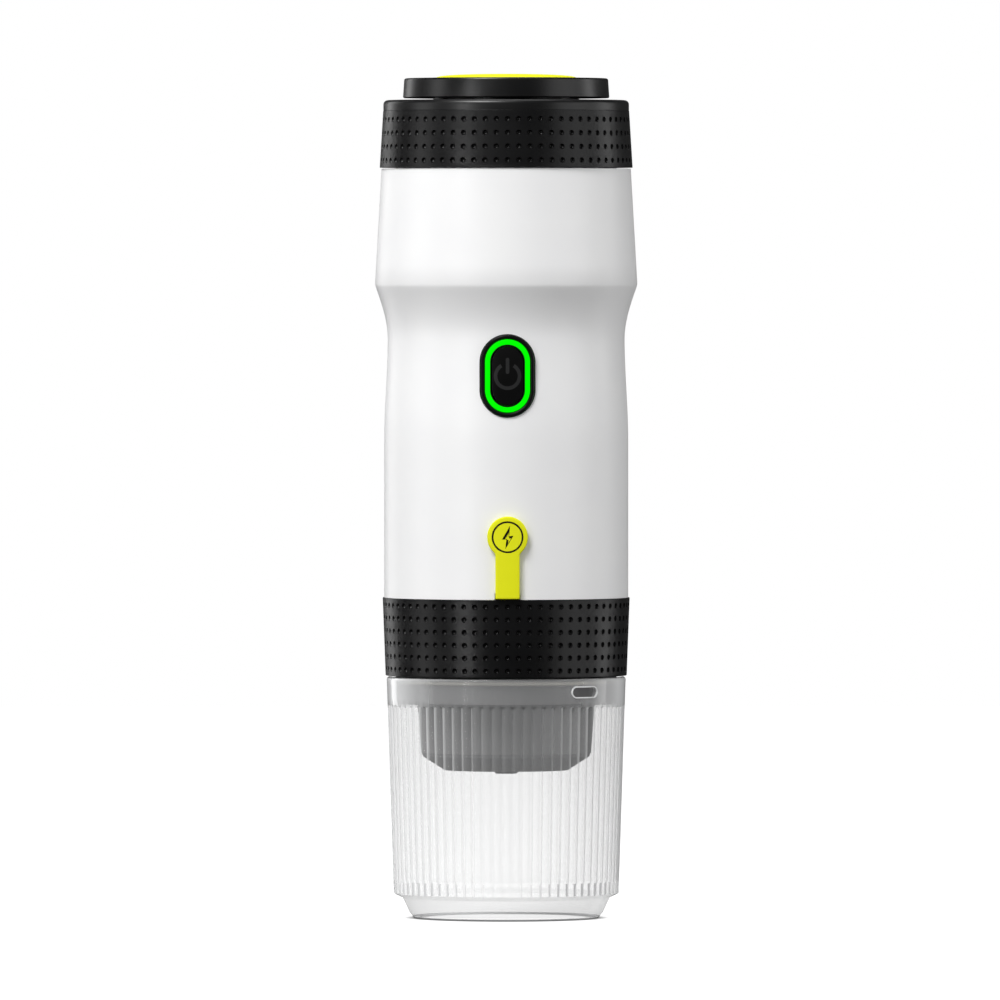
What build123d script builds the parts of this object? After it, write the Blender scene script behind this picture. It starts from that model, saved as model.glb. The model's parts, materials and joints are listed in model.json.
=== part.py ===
from build123d import *
from math import asin, cos, degrees, radians, sin
import os

# Portable espresso machine. Millimetres, +Z up, the front faces -Y.
# The origin is the centre of the cup's foot, on the table.

# Clearances
move_gap = 0.3  # between pieces that part from each other
slip_gap = 0.15  # between fixed pieces that slot together
push_gap = 0.45  # cup over the ring of the brew head
thread_gap = 0.5  # room for the threads of the lid and the brew head

# Cup
cup_height = 66.3
cup_rim_inset = 0.3  # rim inside the lower sleeve's edge
cup_taper = 1.9  # from the rim in to the reeds' lower end
cup_wall = 1.7
foot_height = 6.9
foot_step = 2.5  # from the reeded wall in to the foot's shoulder
foot_taper = 2.6
foot_chamfer_height = 1.3
foot_wall = 2.4
cup_floor_rise = 3.6  # inner floor above the foot
cup_floor_thickness = 3.0
rim_band_height = 7.6  # smooth band above the reeds
reed_count = 70
reed_depth = 0.45
vent_length = 8.7
vent_height = 2.6
vent_below_rim = 3.7
vent_angle = 40.7  # from the front towards +X

# Brew head, with depths below the cup's rim
neck_ring_height = 7.4
base_ring_wall = 7.2  # ring that the collar screws into
chamber_taper = 1.3
chamber_wall = 2.7
chamber_depth = 22.1
cone_height = 3.6
cone_draw = 6.0  # from the chamber's lower edge in to the cone's tip
chamber_floor_depth = 16.8
funnel_height = 4.5
collar_height = 9.4  # threaded length inside the base ring
nozzle_radius = 4.0
nozzle_bore_radius = 1.5
nozzle_reach = 1.0  # how far the nozzle stands out of the cone
seal_wire_radius = 0.6
seal_below_rim = 1.3
basket_lip = 1.7  # lip outside the basket's wall
basket_lip_thickness = 1.0
basket_lip_sink = 0.3  # lip below the chamber's top
basket_wall = 0.8
basket_above_floor = 1.0
basket_ledge = 1.0
basket_ledge_thickness = 0.6
filter_thickness = 0.5
filter_hole_radius = 0.8
filter_hole_pitch = 6.4
gasket_thickness = 2.0
gasket_width = 3.5

# Shower plate
shower_thickness = 0.8
shower_depth = 1.4
shower_rim = 1.5
shower_hole_radius = 0.8
shower_hole_pitch = 7.0

# White shell and lower sleeve
shell_radius = 33.5
sleeve_step = 1.5  # shell's recess under the sleeve
shell_wall = 1.7  # behind the sleeve
band_height = 21.4
band_bottom_wall = 1.1
band_top_wall = 1.9
sleeve_edge_round = 0.35
straight_height = 43.0  # above the sleeve
waist_draw = 1.0
waist_above_frame = 0.5
slope_reach = 2.7
slope_height = 12.5
slope_lean = 19.0  # degrees from upright
flare_reach = 0.8
flare_height = 2.5
top_draw = 1.8
top_height = 31.6
top_wall = 1.6
bore_step_below_slope = 1.7
bore_step_height = 3.0

# Water tank
tank_wall = 2.0
tank_floor_thickness = 2.0
tank_above_screws = 3.2
tank_flange_thickness = 2.0
tank_flange_sink = 0.3  # flange below the shell's top
tank_neck_inset = 2.3
tank_neck_wall = 2.3
tank_side_gap = 0.4
tank_filter_radius = 6.0
tank_filter_thickness = 0.8
tank_filter_hole_pitch = 3.6

# Inner frame
plate_thickness = 3.0
tray_above_heater = 2.0
tray_thickness = 2.5
tray_pocket_depth = 1.5
frame_plate_thickness = 2.5
pillar_radius = 2.4
pillar_foot_radius = 3.2
pillar_inset = 3.7
front_pillar_angle = 20  # in front of the sideways line
screw_radius = 1.2
screw_length = 8.0
screw_head_radius = 2.3
screw_head_height = 1.6

# Battery cells
cell_share = 0.304  # radius as a share of the shell's bore
cell_length = 65.2
cell_side_gap = 0.9
cell_spacing = 1.8

# Heater and pump
heater_side_gap = 5.4  # to the feet of the pillars
heater_height = 7.0
heater_outlet_radius = 4.0
heater_socket_depth = 5.0
pump_share = 0.2  # pump in front of the main axis, as a share of the bore
barrel_share = 0.198  # radius as a share of the bore
barrel_wall = 1.6
barrel_below_frame = 12.0
barrel_end = 3.0
barb_radius = 2.6
barb_length = 6.0
outlet_barb_length = 3.8
hose_free_length = 4.3
water_bore_radius = 1.2
hose_wall = 1.3
pump_boss_wall = 1.8
pump_boss_height = 6.0
coil_share = 0.345  # radius as a share of the bore
coil_below_top = 8.0  # coil below the barrel's top
coil_above_tray = 16.0
coil_flange = 1.2
coil_flange_step = 1.0
plunger_below_top = 14.0
plunger_above_tray = 12.0
plunger_gap = 0.2
spring_wire_radius = 0.4
spring_gap = 0.7
spring_turns = 5

# Board, switch and charging port
board_setback = 7.3  # from the shell's bore to the board's face
board_thickness = 1.6
board_width = 26.0
switch_side = 6.0
switch_height = 3.5
switch_nub_radius = 1.6
switch_nub_height = 0.8
port_width = 8.9
port_height = 3.2
port_wall = 0.3
port_behind_plug = 0.4
port_tongue_thickness = 0.7
port_tongue_setback = 1.0

# Power button
button_below_waist = 10.0
bezel_width = 15.0
bezel_height = 22.5
bezel_rim = 1.15
bezel_proud = 0.5
bezel_round = 0.6
ring_width = 1.65
ring_sink = 0.1
ring_depth = 3.0
cap_sink = 0.3
cap_gap = 0.25
cap_flange = 0.8
cap_flange_thickness = 1.0
cap_stem_radius = 2.0
button_travel = 0.6

# Charging flap
flap_rise = 17.1  # centre of the head above the lower sleeve
flap_head_radius = 5.65
flap_strap_width = 6.74
flap_thickness = 1.4
flap_neck_round = 1.5
flap_plug_width = 9.2
flap_plug_height = 3.6
flap_plug_depth = 2.2
flap_plug_gap = 0.4
tail_length = 6.0
tail_thickness = 1.0
tail_neck_height = 1.6

# Lid
skirt_wall = 1.8
lid_sleeve_bottom_wall = 2.1
lid_sleeve_top_wall = 1.4
lid_sleeve_height = 15.6
cap_rim_reach = 1.1  # shoulder outside the sleeve's seat
cap_rim_height = 2.9
cap_rim_round = 1.2
cap_plate_thickness = 6.0
cap_vent_radius = 2.0
liner_depth = 4.5
liner_gap = 0.6
lid_seal_thickness = 1.4
lid_seal_inset = 0.2
valve_radius = 4.0
valve_thickness = 0.9
valve_stem_radius = 1.5
knob_inset = 5.4  # inside the cap's rim
knob_taper = 0.3
knob_height = 5.4
knob_lift = 0.6  # shadow gap under the knob
knob_round = 0.6
knob_overhang = 8.3  # outside the knob's spigot
knob_spigot_depth = 2.0
pad_inset = 9.1
pad_proud = 1.2
pad_sink = 0.8
pad_round = 0.8

# Heights that follow from the sizes above
foot_shoulder_height = foot_height - foot_chamfer_height
cup_floor_top = foot_height + cup_floor_rise
vent_z = cup_height - vent_below_rim
reed_top = cup_height - rim_band_height
neck_ring_bottom = cup_height - neck_ring_height
chamber_low = cup_height - chamber_depth
chamber_bottom = chamber_low - cone_height
chamber_floor = cup_height - chamber_floor_depth
funnel_bottom = chamber_floor - funnel_height
basket_bottom = chamber_floor + basket_above_floor
base_bottom = cup_height + move_gap
collar_top = base_bottom + collar_height
gasket_bottom = collar_top + move_gap
gasket_top = gasket_bottom + gasket_thickness
shower_bottom = gasket_top + move_gap
base_top = shower_bottom + shower_depth
band_top = base_bottom + band_height
plate_top = base_top + plate_thickness
heater_top = plate_top + heater_height
tray_bottom = heater_top + tray_above_heater
tray_top = tray_bottom + tray_thickness
cell_bottom = tray_top - tray_pocket_depth
frame_bottom = cell_bottom + cell_length + move_gap
frame_top = frame_bottom + frame_plate_thickness
barrel_top = frame_bottom - barrel_below_frame
coil_low = tray_top + coil_above_tray
coil_top = barrel_top - coil_below_top
plunger_low = tray_top + plunger_above_tray
plunger_top = barrel_top - plunger_below_top
tank_floor_bottom = frame_top + screw_head_height + tank_above_screws
tank_floor_top = tank_floor_bottom + tank_floor_thickness
straight_top = band_top + straight_height
waist_z = frame_bottom + waist_above_frame
slope_z = waist_z + slope_height
bore_step_z = slope_z - bore_step_below_slope
flare_z = slope_z + flare_height
shell_top = flare_z + top_height
tank_flange_top = shell_top - tank_flange_sink
lid_bottom = shell_top + move_gap
lid_sleeve_top = lid_bottom + lid_sleeve_height
cap_top = lid_sleeve_top + cap_rim_height
cap_under = cap_top - cap_plate_thickness
tank_neck_top = cap_under - lid_seal_thickness - 2 * move_gap
knob_bottom = cap_top + knob_lift
knob_top = knob_bottom + knob_height
button_z = waist_z - button_below_waist
flap_z = band_top + flap_rise

# Radii and distances from the axis that follow from the sizes above
sleeve_seat_radius = shell_radius - sleeve_step
shell_bore_radius = sleeve_seat_radius - shell_wall
cup_rim_radius = sleeve_seat_radius + band_bottom_wall - cup_rim_inset
cup_base_radius = cup_rim_radius - cup_taper
foot_shoulder_radius = cup_base_radius - foot_step
foot_radius = foot_shoulder_radius - foot_taper
chamber_radius = sleeve_seat_radius - base_ring_wall - thread_gap
chamber_low_radius = chamber_radius - chamber_taper
chamber_bore_radius = chamber_radius - chamber_wall
cone_radius = chamber_low_radius - cone_draw
basket_radius = chamber_bore_radius - move_gap
basket_inner_radius = basket_radius - basket_wall
basket_lip_radius = basket_radius + basket_lip
waist_radius = shell_radius - waist_draw
slope_radius = waist_radius + slope_reach
flare_radius = slope_radius + flare_reach
shell_top_radius = flare_radius - top_draw
upper_bore_radius = shell_top_radius - top_wall
tank_neck_radius = upper_bore_radius - tank_neck_inset
tank_mouth_radius = tank_neck_radius - tank_neck_wall
skirt_radius = tank_neck_radius + thread_gap
lid_sleeve_seat_radius = skirt_radius + skirt_wall
cap_rim_radius = lid_sleeve_seat_radius + cap_rim_reach
knob_radius = cap_rim_radius - knob_inset
knob_spigot_radius = knob_radius - knob_overhang
pad_radius = knob_radius - pad_inset
plate_radius = shell_bore_radius - slip_gap
pillar_circle = shell_bore_radius - pillar_inset
cell_radius = cell_share * shell_bore_radius
cell_circle = shell_bore_radius - cell_radius - cell_side_gap
cell_step = 2 * degrees(asin((cell_radius + cell_spacing / 2) / cell_circle))
cell_angles = (90 - cell_step, 90, 90 + cell_step)
pillar_angles = (
    90 - cell_step / 2, 90 + cell_step / 2, 180 + front_pillar_angle, 360 - front_pillar_angle
)
heater_radius = pillar_circle - pillar_foot_radius - heater_side_gap
pump_y = -pump_share * shell_bore_radius
coil_radius = coil_share * shell_bore_radius
barrel_radius = barrel_share * shell_bore_radius
barrel_bore_radius = barrel_radius - barrel_wall
hose_radius = barb_radius + hose_wall
hose_hole_radius = hose_radius + slip_gap
board_front = shell_bore_radius - board_setback
bezel_front_radius = shell_radius + bezel_proud
bezel_back = plate_radius + move_gap
ring_back = bezel_front_radius - ring_depth
flap_inner_radius = shell_radius + move_gap
flap_outer_radius = flap_inner_radius + flap_thickness
flap_pivot_radius = flap_inner_radius + flap_thickness / 2
flap_pivot_z = band_top + move_gap + flap_thickness / 2
flap_plug_back = flap_inner_radius - flap_plug_depth
port_mouth = flap_plug_back - port_behind_plug


# Shared shapes


def disc(radius, low, high):
    """Round plate or rod about the main axis between two heights."""
    return extrude(Pos(0, 0, low) * Circle(radius), amount=high - low)


def tube(inner, outer, low, high):
    """Ring about the main axis between two heights."""
    return disc(outer, low, high) - disc(inner, low - 1, high + 1)


def turned(*outline):
    """Solid of revolution about the main axis from (radius, height) corners."""
    return revolve(make_face(Plane.XZ * Polyline(*outline, close=True)), Axis.Z)


def round_place(radius, angle):
    """Place on a circle about the main axis, angle in degrees from +X."""
    return Pos(radius * cos(radians(angle)), radius * sin(radians(angle)), 0)


def hole_rings(pitch, rings):
    """Places of a hole at the centre and of rings of holes about it."""
    places = [Pos(0, 0, 0)]
    for ring in range(1, rings + 1):
        for hole in range(6 * ring):
            places.append(round_place(ring * pitch, 60 * hole / ring))
    return places


def drilled(plate, places, radius, low, high):
    """Plate with a round hole through it at every place."""
    drills = [place * disc(radius, low - 1, high + 1) for place in places]
    return plate - drills


def front_plane(distance):
    """Upright plane in front of the axis, facing the front."""
    return Plane(origin=(0, -distance, 0), x_dir=(1, 0, 0), z_dir=(0, -1, 0))


def pill(width, height, z, back, front):
    """Upright pill-shaped bar along the depth, between two distances in front of the axis."""
    outline = Pos(0, z) * SlotOverall(height, width, rotation=90)
    return extrude(front_plane(back) * outline, amount=front - back)


def sleeve(seat, bottom_wall, top_wall, low, high):
    """Tapered rubber sleeve with softened outer edges."""
    body = turned((seat, low), (seat + bottom_wall, low), (seat + top_wall, high), (seat, high))
    circles = body.edges().filter_by(GeomType.CIRCLE)
    rims = [edge for edge in circles if edge.radius > seat + sleeve_edge_round]
    return fillet(rims, sleeve_edge_round)


# Cup


def cup_radius(z):
    """Outer radius of the cup's tapered wall at a height."""
    share = (z - foot_height) / (cup_height - foot_height)
    return cup_base_radius + share * (cup_rim_radius - cup_base_radius)


def reeded_section(z):
    """Outline of the reeded wall at a height, one outward arc for each reed."""
    crest = cup_radius(z)
    valley = crest - reed_depth
    step = 360 / reed_count
    arcs = []
    for reed in range(reed_count):
        start = round_place(valley, reed * step).position
        middle = round_place(crest, (reed + 0.5) * step).position
        end = round_place(valley, (reed + 1) * step).position
        arcs.append(ThreePointArc(start, middle, end))
    return Pos(0, 0, z) * make_face(arcs)


def make_cup():
    """Clear cup: foot, reeded wall, smooth rim band and vent slot."""
    valley = cup_base_radius - reed_depth
    foot = turned(
        (0, 0),
        (foot_radius, 0),
        (foot_shoulder_radius, foot_shoulder_height),
        (valley, foot_height),
        (0, foot_height),
    )
    reeds = loft([reeded_section(foot_height), reeded_section(reed_top)], ruled=True)
    rim = turned(
        (0, reed_top), (cup_radius(reed_top), reed_top), (cup_rim_radius, cup_height), (0, cup_height)
    )
    over = cup_height + 1
    cavity = turned(
        (0, cup_floor_top),
        (cup_radius(cup_floor_top) - cup_wall, cup_floor_top),
        (cup_radius(over) - cup_wall, over),
        (0, over),
    )
    recess = disc(foot_radius - foot_wall, -1, cup_floor_top - cup_floor_thickness)
    vent_outline = Pos(0, vent_z) * SlotOverall(vent_length, vent_height)
    vent = extrude(front_plane(cup_rim_radius / 2) * vent_outline, amount=cup_rim_radius)
    return foot + reeds + rim - cavity - recess - Rot(0, 0, vent_angle) * vent


# Brew head


def neck_ring_radius():
    """Radius of the ring that the cup pushes onto."""
    return cup_radius(neck_ring_bottom) - cup_wall - push_gap


def make_brew_chamber():
    """Grey chamber: threaded collar, cup ring with a seal groove, cone and funnel."""
    ring = neck_ring_radius()
    groove_top = cup_height - seal_below_rim + seal_wire_radius
    groove_low = groove_top - 2 * seal_wire_radius
    groove = ring - 2 * seal_wire_radius + push_gap / 2
    lip_seat = collar_top - basket_lip_sink - basket_lip_thickness
    return turned(
        (chamber_bore_radius, lip_seat),
        (basket_lip_radius + move_gap, lip_seat),
        (basket_lip_radius + move_gap, collar_top),
        (chamber_radius, collar_top),
        (chamber_radius, cup_height),
        (ring, cup_height),
        (ring, groove_top),
        (groove, groove_top),
        (groove, groove_low),
        (ring, groove_low),
        (ring, neck_ring_bottom),
        (chamber_radius, neck_ring_bottom),
        (chamber_low_radius, chamber_low),
        (cone_radius, chamber_bottom),
        (nozzle_radius, chamber_bottom),
        (nozzle_radius, funnel_bottom),
        (chamber_bore_radius - basket_ledge, chamber_floor),
        (chamber_bore_radius, chamber_floor),
    )


def make_cup_seal():
    """O-ring in the groove of the cup ring."""
    centre = neck_ring_radius() - seal_wire_radius + push_gap / 2
    wire = Pos(centre, cup_height - seal_below_rim) * Circle(seal_wire_radius)
    return revolve(Plane.XZ * wire, Axis.Z)


def make_coffee_basket():
    """Basket wall with a lip at the top and a ledge for the filter at the bottom."""
    lip_top = collar_top - basket_lip_sink
    ledge_top = basket_bottom + basket_ledge_thickness
    return turned(
        (basket_inner_radius - basket_ledge, basket_bottom),
        (basket_radius, basket_bottom),
        (basket_radius, lip_top - basket_lip_thickness),
        (basket_lip_radius, lip_top - basket_lip_thickness),
        (basket_lip_radius, lip_top),
        (basket_inner_radius, lip_top),
        (basket_inner_radius, ledge_top),
        (basket_inner_radius - basket_ledge, ledge_top),
    )


def make_basket_filter():
    """Perforated floor of the coffee basket."""
    low = basket_bottom + basket_ledge_thickness
    high = low + filter_thickness
    plate = disc(basket_inner_radius - slip_gap, low, high)
    return drilled(plate, hole_rings(filter_hole_pitch, 2), filter_hole_radius, low, high)


def make_spout_nozzle():
    """Outlet tube in the chamber's cone, chamfered at its tip."""
    outer = nozzle_radius - slip_gap
    tip = chamber_bottom - nozzle_reach
    return turned(
        (nozzle_bore_radius, tip),
        (outer - nozzle_reach, tip),
        (outer, chamber_bottom),
        (outer, funnel_bottom),
        (nozzle_bore_radius, funnel_bottom),
    )


def make_brew_gasket():
    """Flat ring between the brew chamber and the shower plate."""
    return tube(chamber_radius - gasket_width, chamber_radius, gasket_bottom, gasket_top)


# Base ring, shower plate and lower sleeve


def make_base_ring():
    """Ring under the shell that takes the brew head's thread."""
    return tube(chamber_radius + thread_gap, sleeve_seat_radius, base_bottom, base_top)


def make_shower_plate():
    """Dished plate with holes, its rim against the group plate."""
    low = shower_bottom
    high = low + shower_thickness
    outer = chamber_radius
    dish = turned(
        (0, low),
        (outer, low),
        (outer, base_top),
        (outer - shower_rim, base_top),
        (outer - shower_rim, high),
        (0, high),
    )
    return drilled(dish, hole_rings(shower_hole_pitch, 2), shower_hole_radius, low, high)


def make_lower_grip_sleeve():
    """Rubber sleeve over the base ring and the shell's lower edge."""
    return sleeve(sleeve_seat_radius, band_bottom_wall, band_top_wall, base_bottom, band_top)


# White shell


def shell_outline():
    """Closed (radius, height) outline of the shell: waist, slope, flare and taper outside."""
    slope = (sin(radians(slope_lean)), cos(radians(slope_lean)))
    taper = (shell_top_radius - flare_radius, shell_top - flare_z)
    upright = (0, 1)
    step_top = bore_step_z + bore_step_height
    lower = Polyline(
        (shell_bore_radius, base_top),
        (sleeve_seat_radius, base_top),
        (sleeve_seat_radius, band_top),
        (shell_radius, band_top),
        (shell_radius, straight_top),
    )
    waist = Spline((shell_radius, straight_top), (waist_radius, waist_z), tangents=(upright, upright))
    swell = Spline((waist_radius, waist_z), (slope_radius, slope_z), tangents=(upright, slope))
    flare = Spline((slope_radius, slope_z), (flare_radius, flare_z), tangents=(slope, taper))
    upper = Polyline(
        (flare_radius, flare_z),
        (shell_top_radius, shell_top),
        (upper_bore_radius, shell_top),
        (upper_bore_radius, step_top),
        (shell_bore_radius, bore_step_z),
        (shell_bore_radius, base_top),
    )
    return lower + waist + swell + flare + upper


def make_outer_shell():
    """White housing with openings for the button, the charging port and the flap's tail."""
    body = revolve(make_face(Plane.XZ * shell_outline()), Axis.Z)
    button_hole = pill(
        bezel_width + 2 * slip_gap, bezel_height + 2 * slip_gap, button_z, board_front, flare_radius
    )
    port_outline = Pos(0, flap_z) * SlotOverall(
        flap_plug_width + 2 * flap_plug_gap, flap_plug_height + 2 * flap_plug_gap
    )
    port_hole = extrude(front_plane(board_front) * port_outline, amount=flare_radius - board_front)
    return body - button_hole - port_hole - tail_shape(slip_gap)


# Water tank


def make_water_tank():
    """Tank with a stepped floor, a flange, a neck for the lid and an outlet spigot."""
    low_radius = shell_bore_radius - tank_side_gap
    wide_radius = upper_bore_radius - tank_side_gap
    step_low = bore_step_z + move_gap
    step_top = step_low + bore_step_height
    flange_low = tank_flange_top - tank_flange_thickness
    body = turned(
        (0, tank_floor_bottom),
        (low_radius, tank_floor_bottom),
        (low_radius, step_low),
        (wide_radius, step_top),
        (wide_radius, tank_flange_top),
        (tank_neck_radius, tank_flange_top),
        (tank_neck_radius, tank_neck_top),
        (tank_mouth_radius, tank_neck_top),
        (tank_mouth_radius, flange_low),
        (wide_radius - tank_wall, flange_low),
        (wide_radius - tank_wall, step_top),
        (low_radius - tank_wall, step_low),
        (low_radius - tank_wall, tank_floor_top),
        (0, tank_floor_top),
    )
    spigot_low = barrel_top + barb_length + hose_free_length
    spigot = Pos(0, pump_y, 0) * disc(barb_radius, spigot_low, tank_floor_bottom)
    bore = Pos(0, pump_y, 0) * disc(water_bore_radius, spigot_low - 1, tank_floor_top + 1)
    return body + spigot - bore


def make_tank_filter():
    """Perforated disc on the tank's floor, over the outlet."""
    high = tank_floor_top + tank_filter_thickness
    plate = disc(tank_filter_radius, tank_floor_top, high)
    places = hole_rings(tank_filter_hole_pitch, 1)
    return Pos(0, pump_y, 0) * drilled(plate, places, filter_hole_radius, tank_floor_top, high)


# Inner frame and cells


def at_pillars(shape):
    """Copies of a shape, one at each pillar's place."""
    return [round_place(pillar_circle, angle) * shape for angle in pillar_angles]


def make_group_plate():
    """Lower plate of the frame, with the heater's outlet through it."""
    hole = disc(heater_outlet_radius + slip_gap, base_top - 1, plate_top + 1)
    return disc(plate_radius, base_top, plate_top) - hole


def make_battery_tray():
    """Middle plate with cups for the cells and a boss for the pump."""
    plate = disc(plate_radius, tray_bottom, tray_top)
    seat = barrel_radius + slip_gap
    boss = Pos(0, pump_y, 0) * tube(seat, seat + pump_boss_wall, tray_top, tray_top + pump_boss_height)
    pocket = disc(cell_radius + slip_gap, cell_bottom, frame_bottom)
    pockets = [round_place(cell_circle, angle) * pocket for angle in cell_angles]
    hose_hole = Pos(0, pump_y, 0) * disc(hose_hole_radius, tray_bottom - 1, tray_top + 1)
    pillar_hole = disc(pillar_radius + slip_gap, tray_bottom - 1, tray_top + 1)
    return plate + boss - pockets - hose_hole - at_pillars(pillar_hole)


def make_frame_plate():
    """Upper plate of the frame, over the cells."""
    plate = disc(plate_radius, frame_bottom, frame_top)
    hose_hole = Pos(0, pump_y, 0) * disc(hose_hole_radius, frame_bottom - 1, frame_top + 1)
    screw_hole = disc(screw_radius + slip_gap, frame_bottom - 1, frame_top + 1)
    return plate - hose_hole - at_pillars(screw_hole)


def make_frame_pillars():
    """Pillars with a shoulder that the tray rests on and a screw hole in the top."""
    hole = screw_radius + slip_gap
    hole_low = frame_bottom - screw_length
    pillar = turned(
        (0, plate_top),
        (pillar_foot_radius, plate_top),
        (pillar_foot_radius, tray_bottom),
        (pillar_radius, tray_bottom),
        (pillar_radius, frame_bottom),
        (hole, frame_bottom),
        (hole, hole_low),
        (0, hole_low),
    )
    return Compound(children=at_pillars(pillar))


def make_frame_screws():
    """Screws that hold the upper plate on the pillars."""
    tip = frame_top - screw_length
    screw = disc(screw_radius, tip, frame_top) + disc(
        screw_head_radius, frame_top, frame_top + screw_head_height
    )
    return Compound(children=at_pillars(screw))


def make_battery_cells():
    """Round battery cells, side by side."""
    cell = disc(cell_radius, cell_bottom, cell_bottom + cell_length)
    return Compound(children=[round_place(cell_circle, angle) * cell for angle in cell_angles])


# Heater and pump


def make_heater_block():
    """Heater with a hose socket on top and an outlet through the group plate."""
    socket_low = heater_top - heater_socket_depth
    block = disc(heater_radius, plate_top, heater_top) + disc(heater_outlet_radius, base_top, plate_top)
    socket = Pos(0, pump_y, 0) * disc(hose_hole_radius, socket_low, heater_top + 1)
    outlet = disc(nozzle_bore_radius, base_top - 1, socket_low)
    across = Pos(0, pump_y, socket_low) * Rot(-90, 0, 0) * disc(water_bore_radius, 0, -pump_y)
    return block - socket - outlet - across


def on_pump(shape):
    """Shape moved from the main axis to the pump's axis."""
    return Pos(0, pump_y, 0) * shape


def make_pump_barrel():
    """Barrel with a bore for the plunger and a hose barb at each end."""
    outlet_tip = tray_top - outlet_barb_length
    inlet_tip = barrel_top + barb_length
    body = disc(barrel_radius, tray_top, barrel_top) + disc(barb_radius, outlet_tip, inlet_tip)
    bore = disc(barrel_bore_radius, tray_top + barrel_end, barrel_top - barrel_end)
    return on_pump(body - bore - disc(water_bore_radius, outlet_tip - 1, inlet_tip + 1))


def make_pump_coil():
    """Flanged bobbin and winding round the barrel."""
    low = coil_low
    high = coil_top
    inner = barrel_radius + slip_gap
    wound = coil_radius - coil_flange_step
    return on_pump(
        turned(
            (inner, low),
            (coil_radius, low),
            (coil_radius, low + coil_flange),
            (wound, low + coil_flange),
            (wound, high - coil_flange),
            (coil_radius, high - coil_flange),
            (coil_radius, high),
            (inner, high),
        )
    )


def make_pump_plunger():
    """Steel plunger with a water bore."""
    outer = barrel_bore_radius - plunger_gap
    return on_pump(tube(water_bore_radius, outer, plunger_low, plunger_top))


def make_pump_spring():
    """Spring between the barrel's floor and the plunger."""
    low = tray_top + barrel_end + spring_wire_radius + slip_gap
    high = plunger_low - spring_wire_radius - slip_gap
    radius = barrel_bore_radius - spring_gap - spring_wire_radius
    coil = Helix(pitch=(high - low) / spring_turns, height=high - low, radius=radius)
    wire = Plane(origin=coil @ 0, z_dir=coil % 0) * Circle(spring_wire_radius)
    return Pos(0, pump_y, low) * sweep(wire, path=coil)


def make_inlet_hose():
    """Hose from the tank's spigot to the pump."""
    low = barrel_top + slip_gap
    return on_pump(tube(barb_radius + slip_gap, hose_radius, low, tank_floor_bottom - slip_gap))


def make_feed_hose():
    """Hose from the pump to the heater."""
    low = heater_top - heater_socket_depth
    return on_pump(tube(barb_radius + slip_gap, hose_radius, low, tray_top - slip_gap))


# Board, switch and charging port


def front_box(width, height, z, back, front):
    """Block between two distances in front of the axis."""
    outline = Pos(0, z) * Rectangle(width, height)
    return extrude(front_plane(back) * outline, amount=front - back)


def make_control_board():
    """Circuit board standing on the tray."""
    height = cell_length - tray_pocket_depth
    back = board_front - board_thickness
    return front_box(board_width, height, tray_top + height / 2, back, board_front)


def make_push_switch():
    """Push switch on the board, behind the button."""
    face = board_front + switch_height
    nub = front_plane(face) * Pos(0, button_z) * Circle(switch_nub_radius)
    body = front_box(switch_side, switch_side, button_z, board_front, face)
    return body + extrude(nub, amount=switch_nub_height)


def make_charging_port():
    """Socket on the board, with its mouth in the shell's opening and a tongue inside."""
    outer = Pos(0, flap_z) * SlotOverall(port_width, port_height)
    inner = Pos(0, flap_z) * SlotOverall(port_width - 2 * port_wall, port_height - 2 * port_wall)
    depth = port_mouth - board_front
    body = extrude(front_plane(board_front) * outer, amount=depth)
    mouth = extrude(front_plane(board_front + depth / 3) * inner, amount=depth)
    tongue_width = port_width - port_height
    tongue_tip = port_mouth - port_tongue_setback
    tongue = front_box(tongue_width, port_tongue_thickness, flap_z, board_front, tongue_tip)
    return body - mouth + tongue


# Power button


def make_button_bezel():
    """Pill-shaped rim with a rounded front edge that follows the shell's curve."""
    front = disc(bezel_front_radius, button_z - bezel_height, button_z + bezel_height)
    body = pill(bezel_width, bezel_height, button_z, bezel_back, flare_radius) & front
    face = body.faces().sort_by(Axis.Y)[0]
    body = fillet(face.edges(), bezel_round)
    inner_width = bezel_width - 2 * bezel_rim
    inner_height = bezel_height - 2 * bezel_rim
    return body - pill(inner_width, inner_height, button_z, board_front, flare_radius)


def ring_size():
    """Outer width and height of the lit ring."""
    inset = 2 * (bezel_rim + slip_gap)
    return bezel_width - inset, bezel_height - inset


def cap_size():
    """Width and height of the button's face."""
    width, height = ring_size()
    inset = 2 * (ring_width + cap_gap)
    return width - inset, height - inset


def make_light_ring():
    """Lit ring between the bezel and the button."""
    width, height = ring_size()
    radius = bezel_front_radius - ring_sink
    front = disc(radius, button_z - bezel_height, button_z + bezel_height)
    hole = pill(width - 2 * ring_width, height - 2 * ring_width, button_z, board_front, flare_radius)
    return (pill(width, height, button_z, ring_back, flare_radius) & front) - hole


def make_button_cap():
    """Push button with a flange behind the lit ring and a stem towards the switch."""
    width, height = cap_size()
    radius = bezel_front_radius - cap_sink
    front = disc(radius, button_z - bezel_height, button_z + bezel_height)
    flange_front = ring_back - move_gap
    flange_back = flange_front - cap_flange_thickness
    stem_tip = board_front + switch_height + switch_nub_height + button_travel + move_gap
    face = pill(width, height, button_z, flange_back, flare_radius) & front
    flange_grow = 2 * (cap_gap + cap_flange)
    flange = pill(width + flange_grow, height + flange_grow, button_z, flange_back, flange_front)
    stem = front_plane(stem_tip) * Pos(0, button_z) * Circle(cap_stem_radius)
    return face + flange + extrude(stem, amount=flange_back - stem_tip)


# Charging flap


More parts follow.
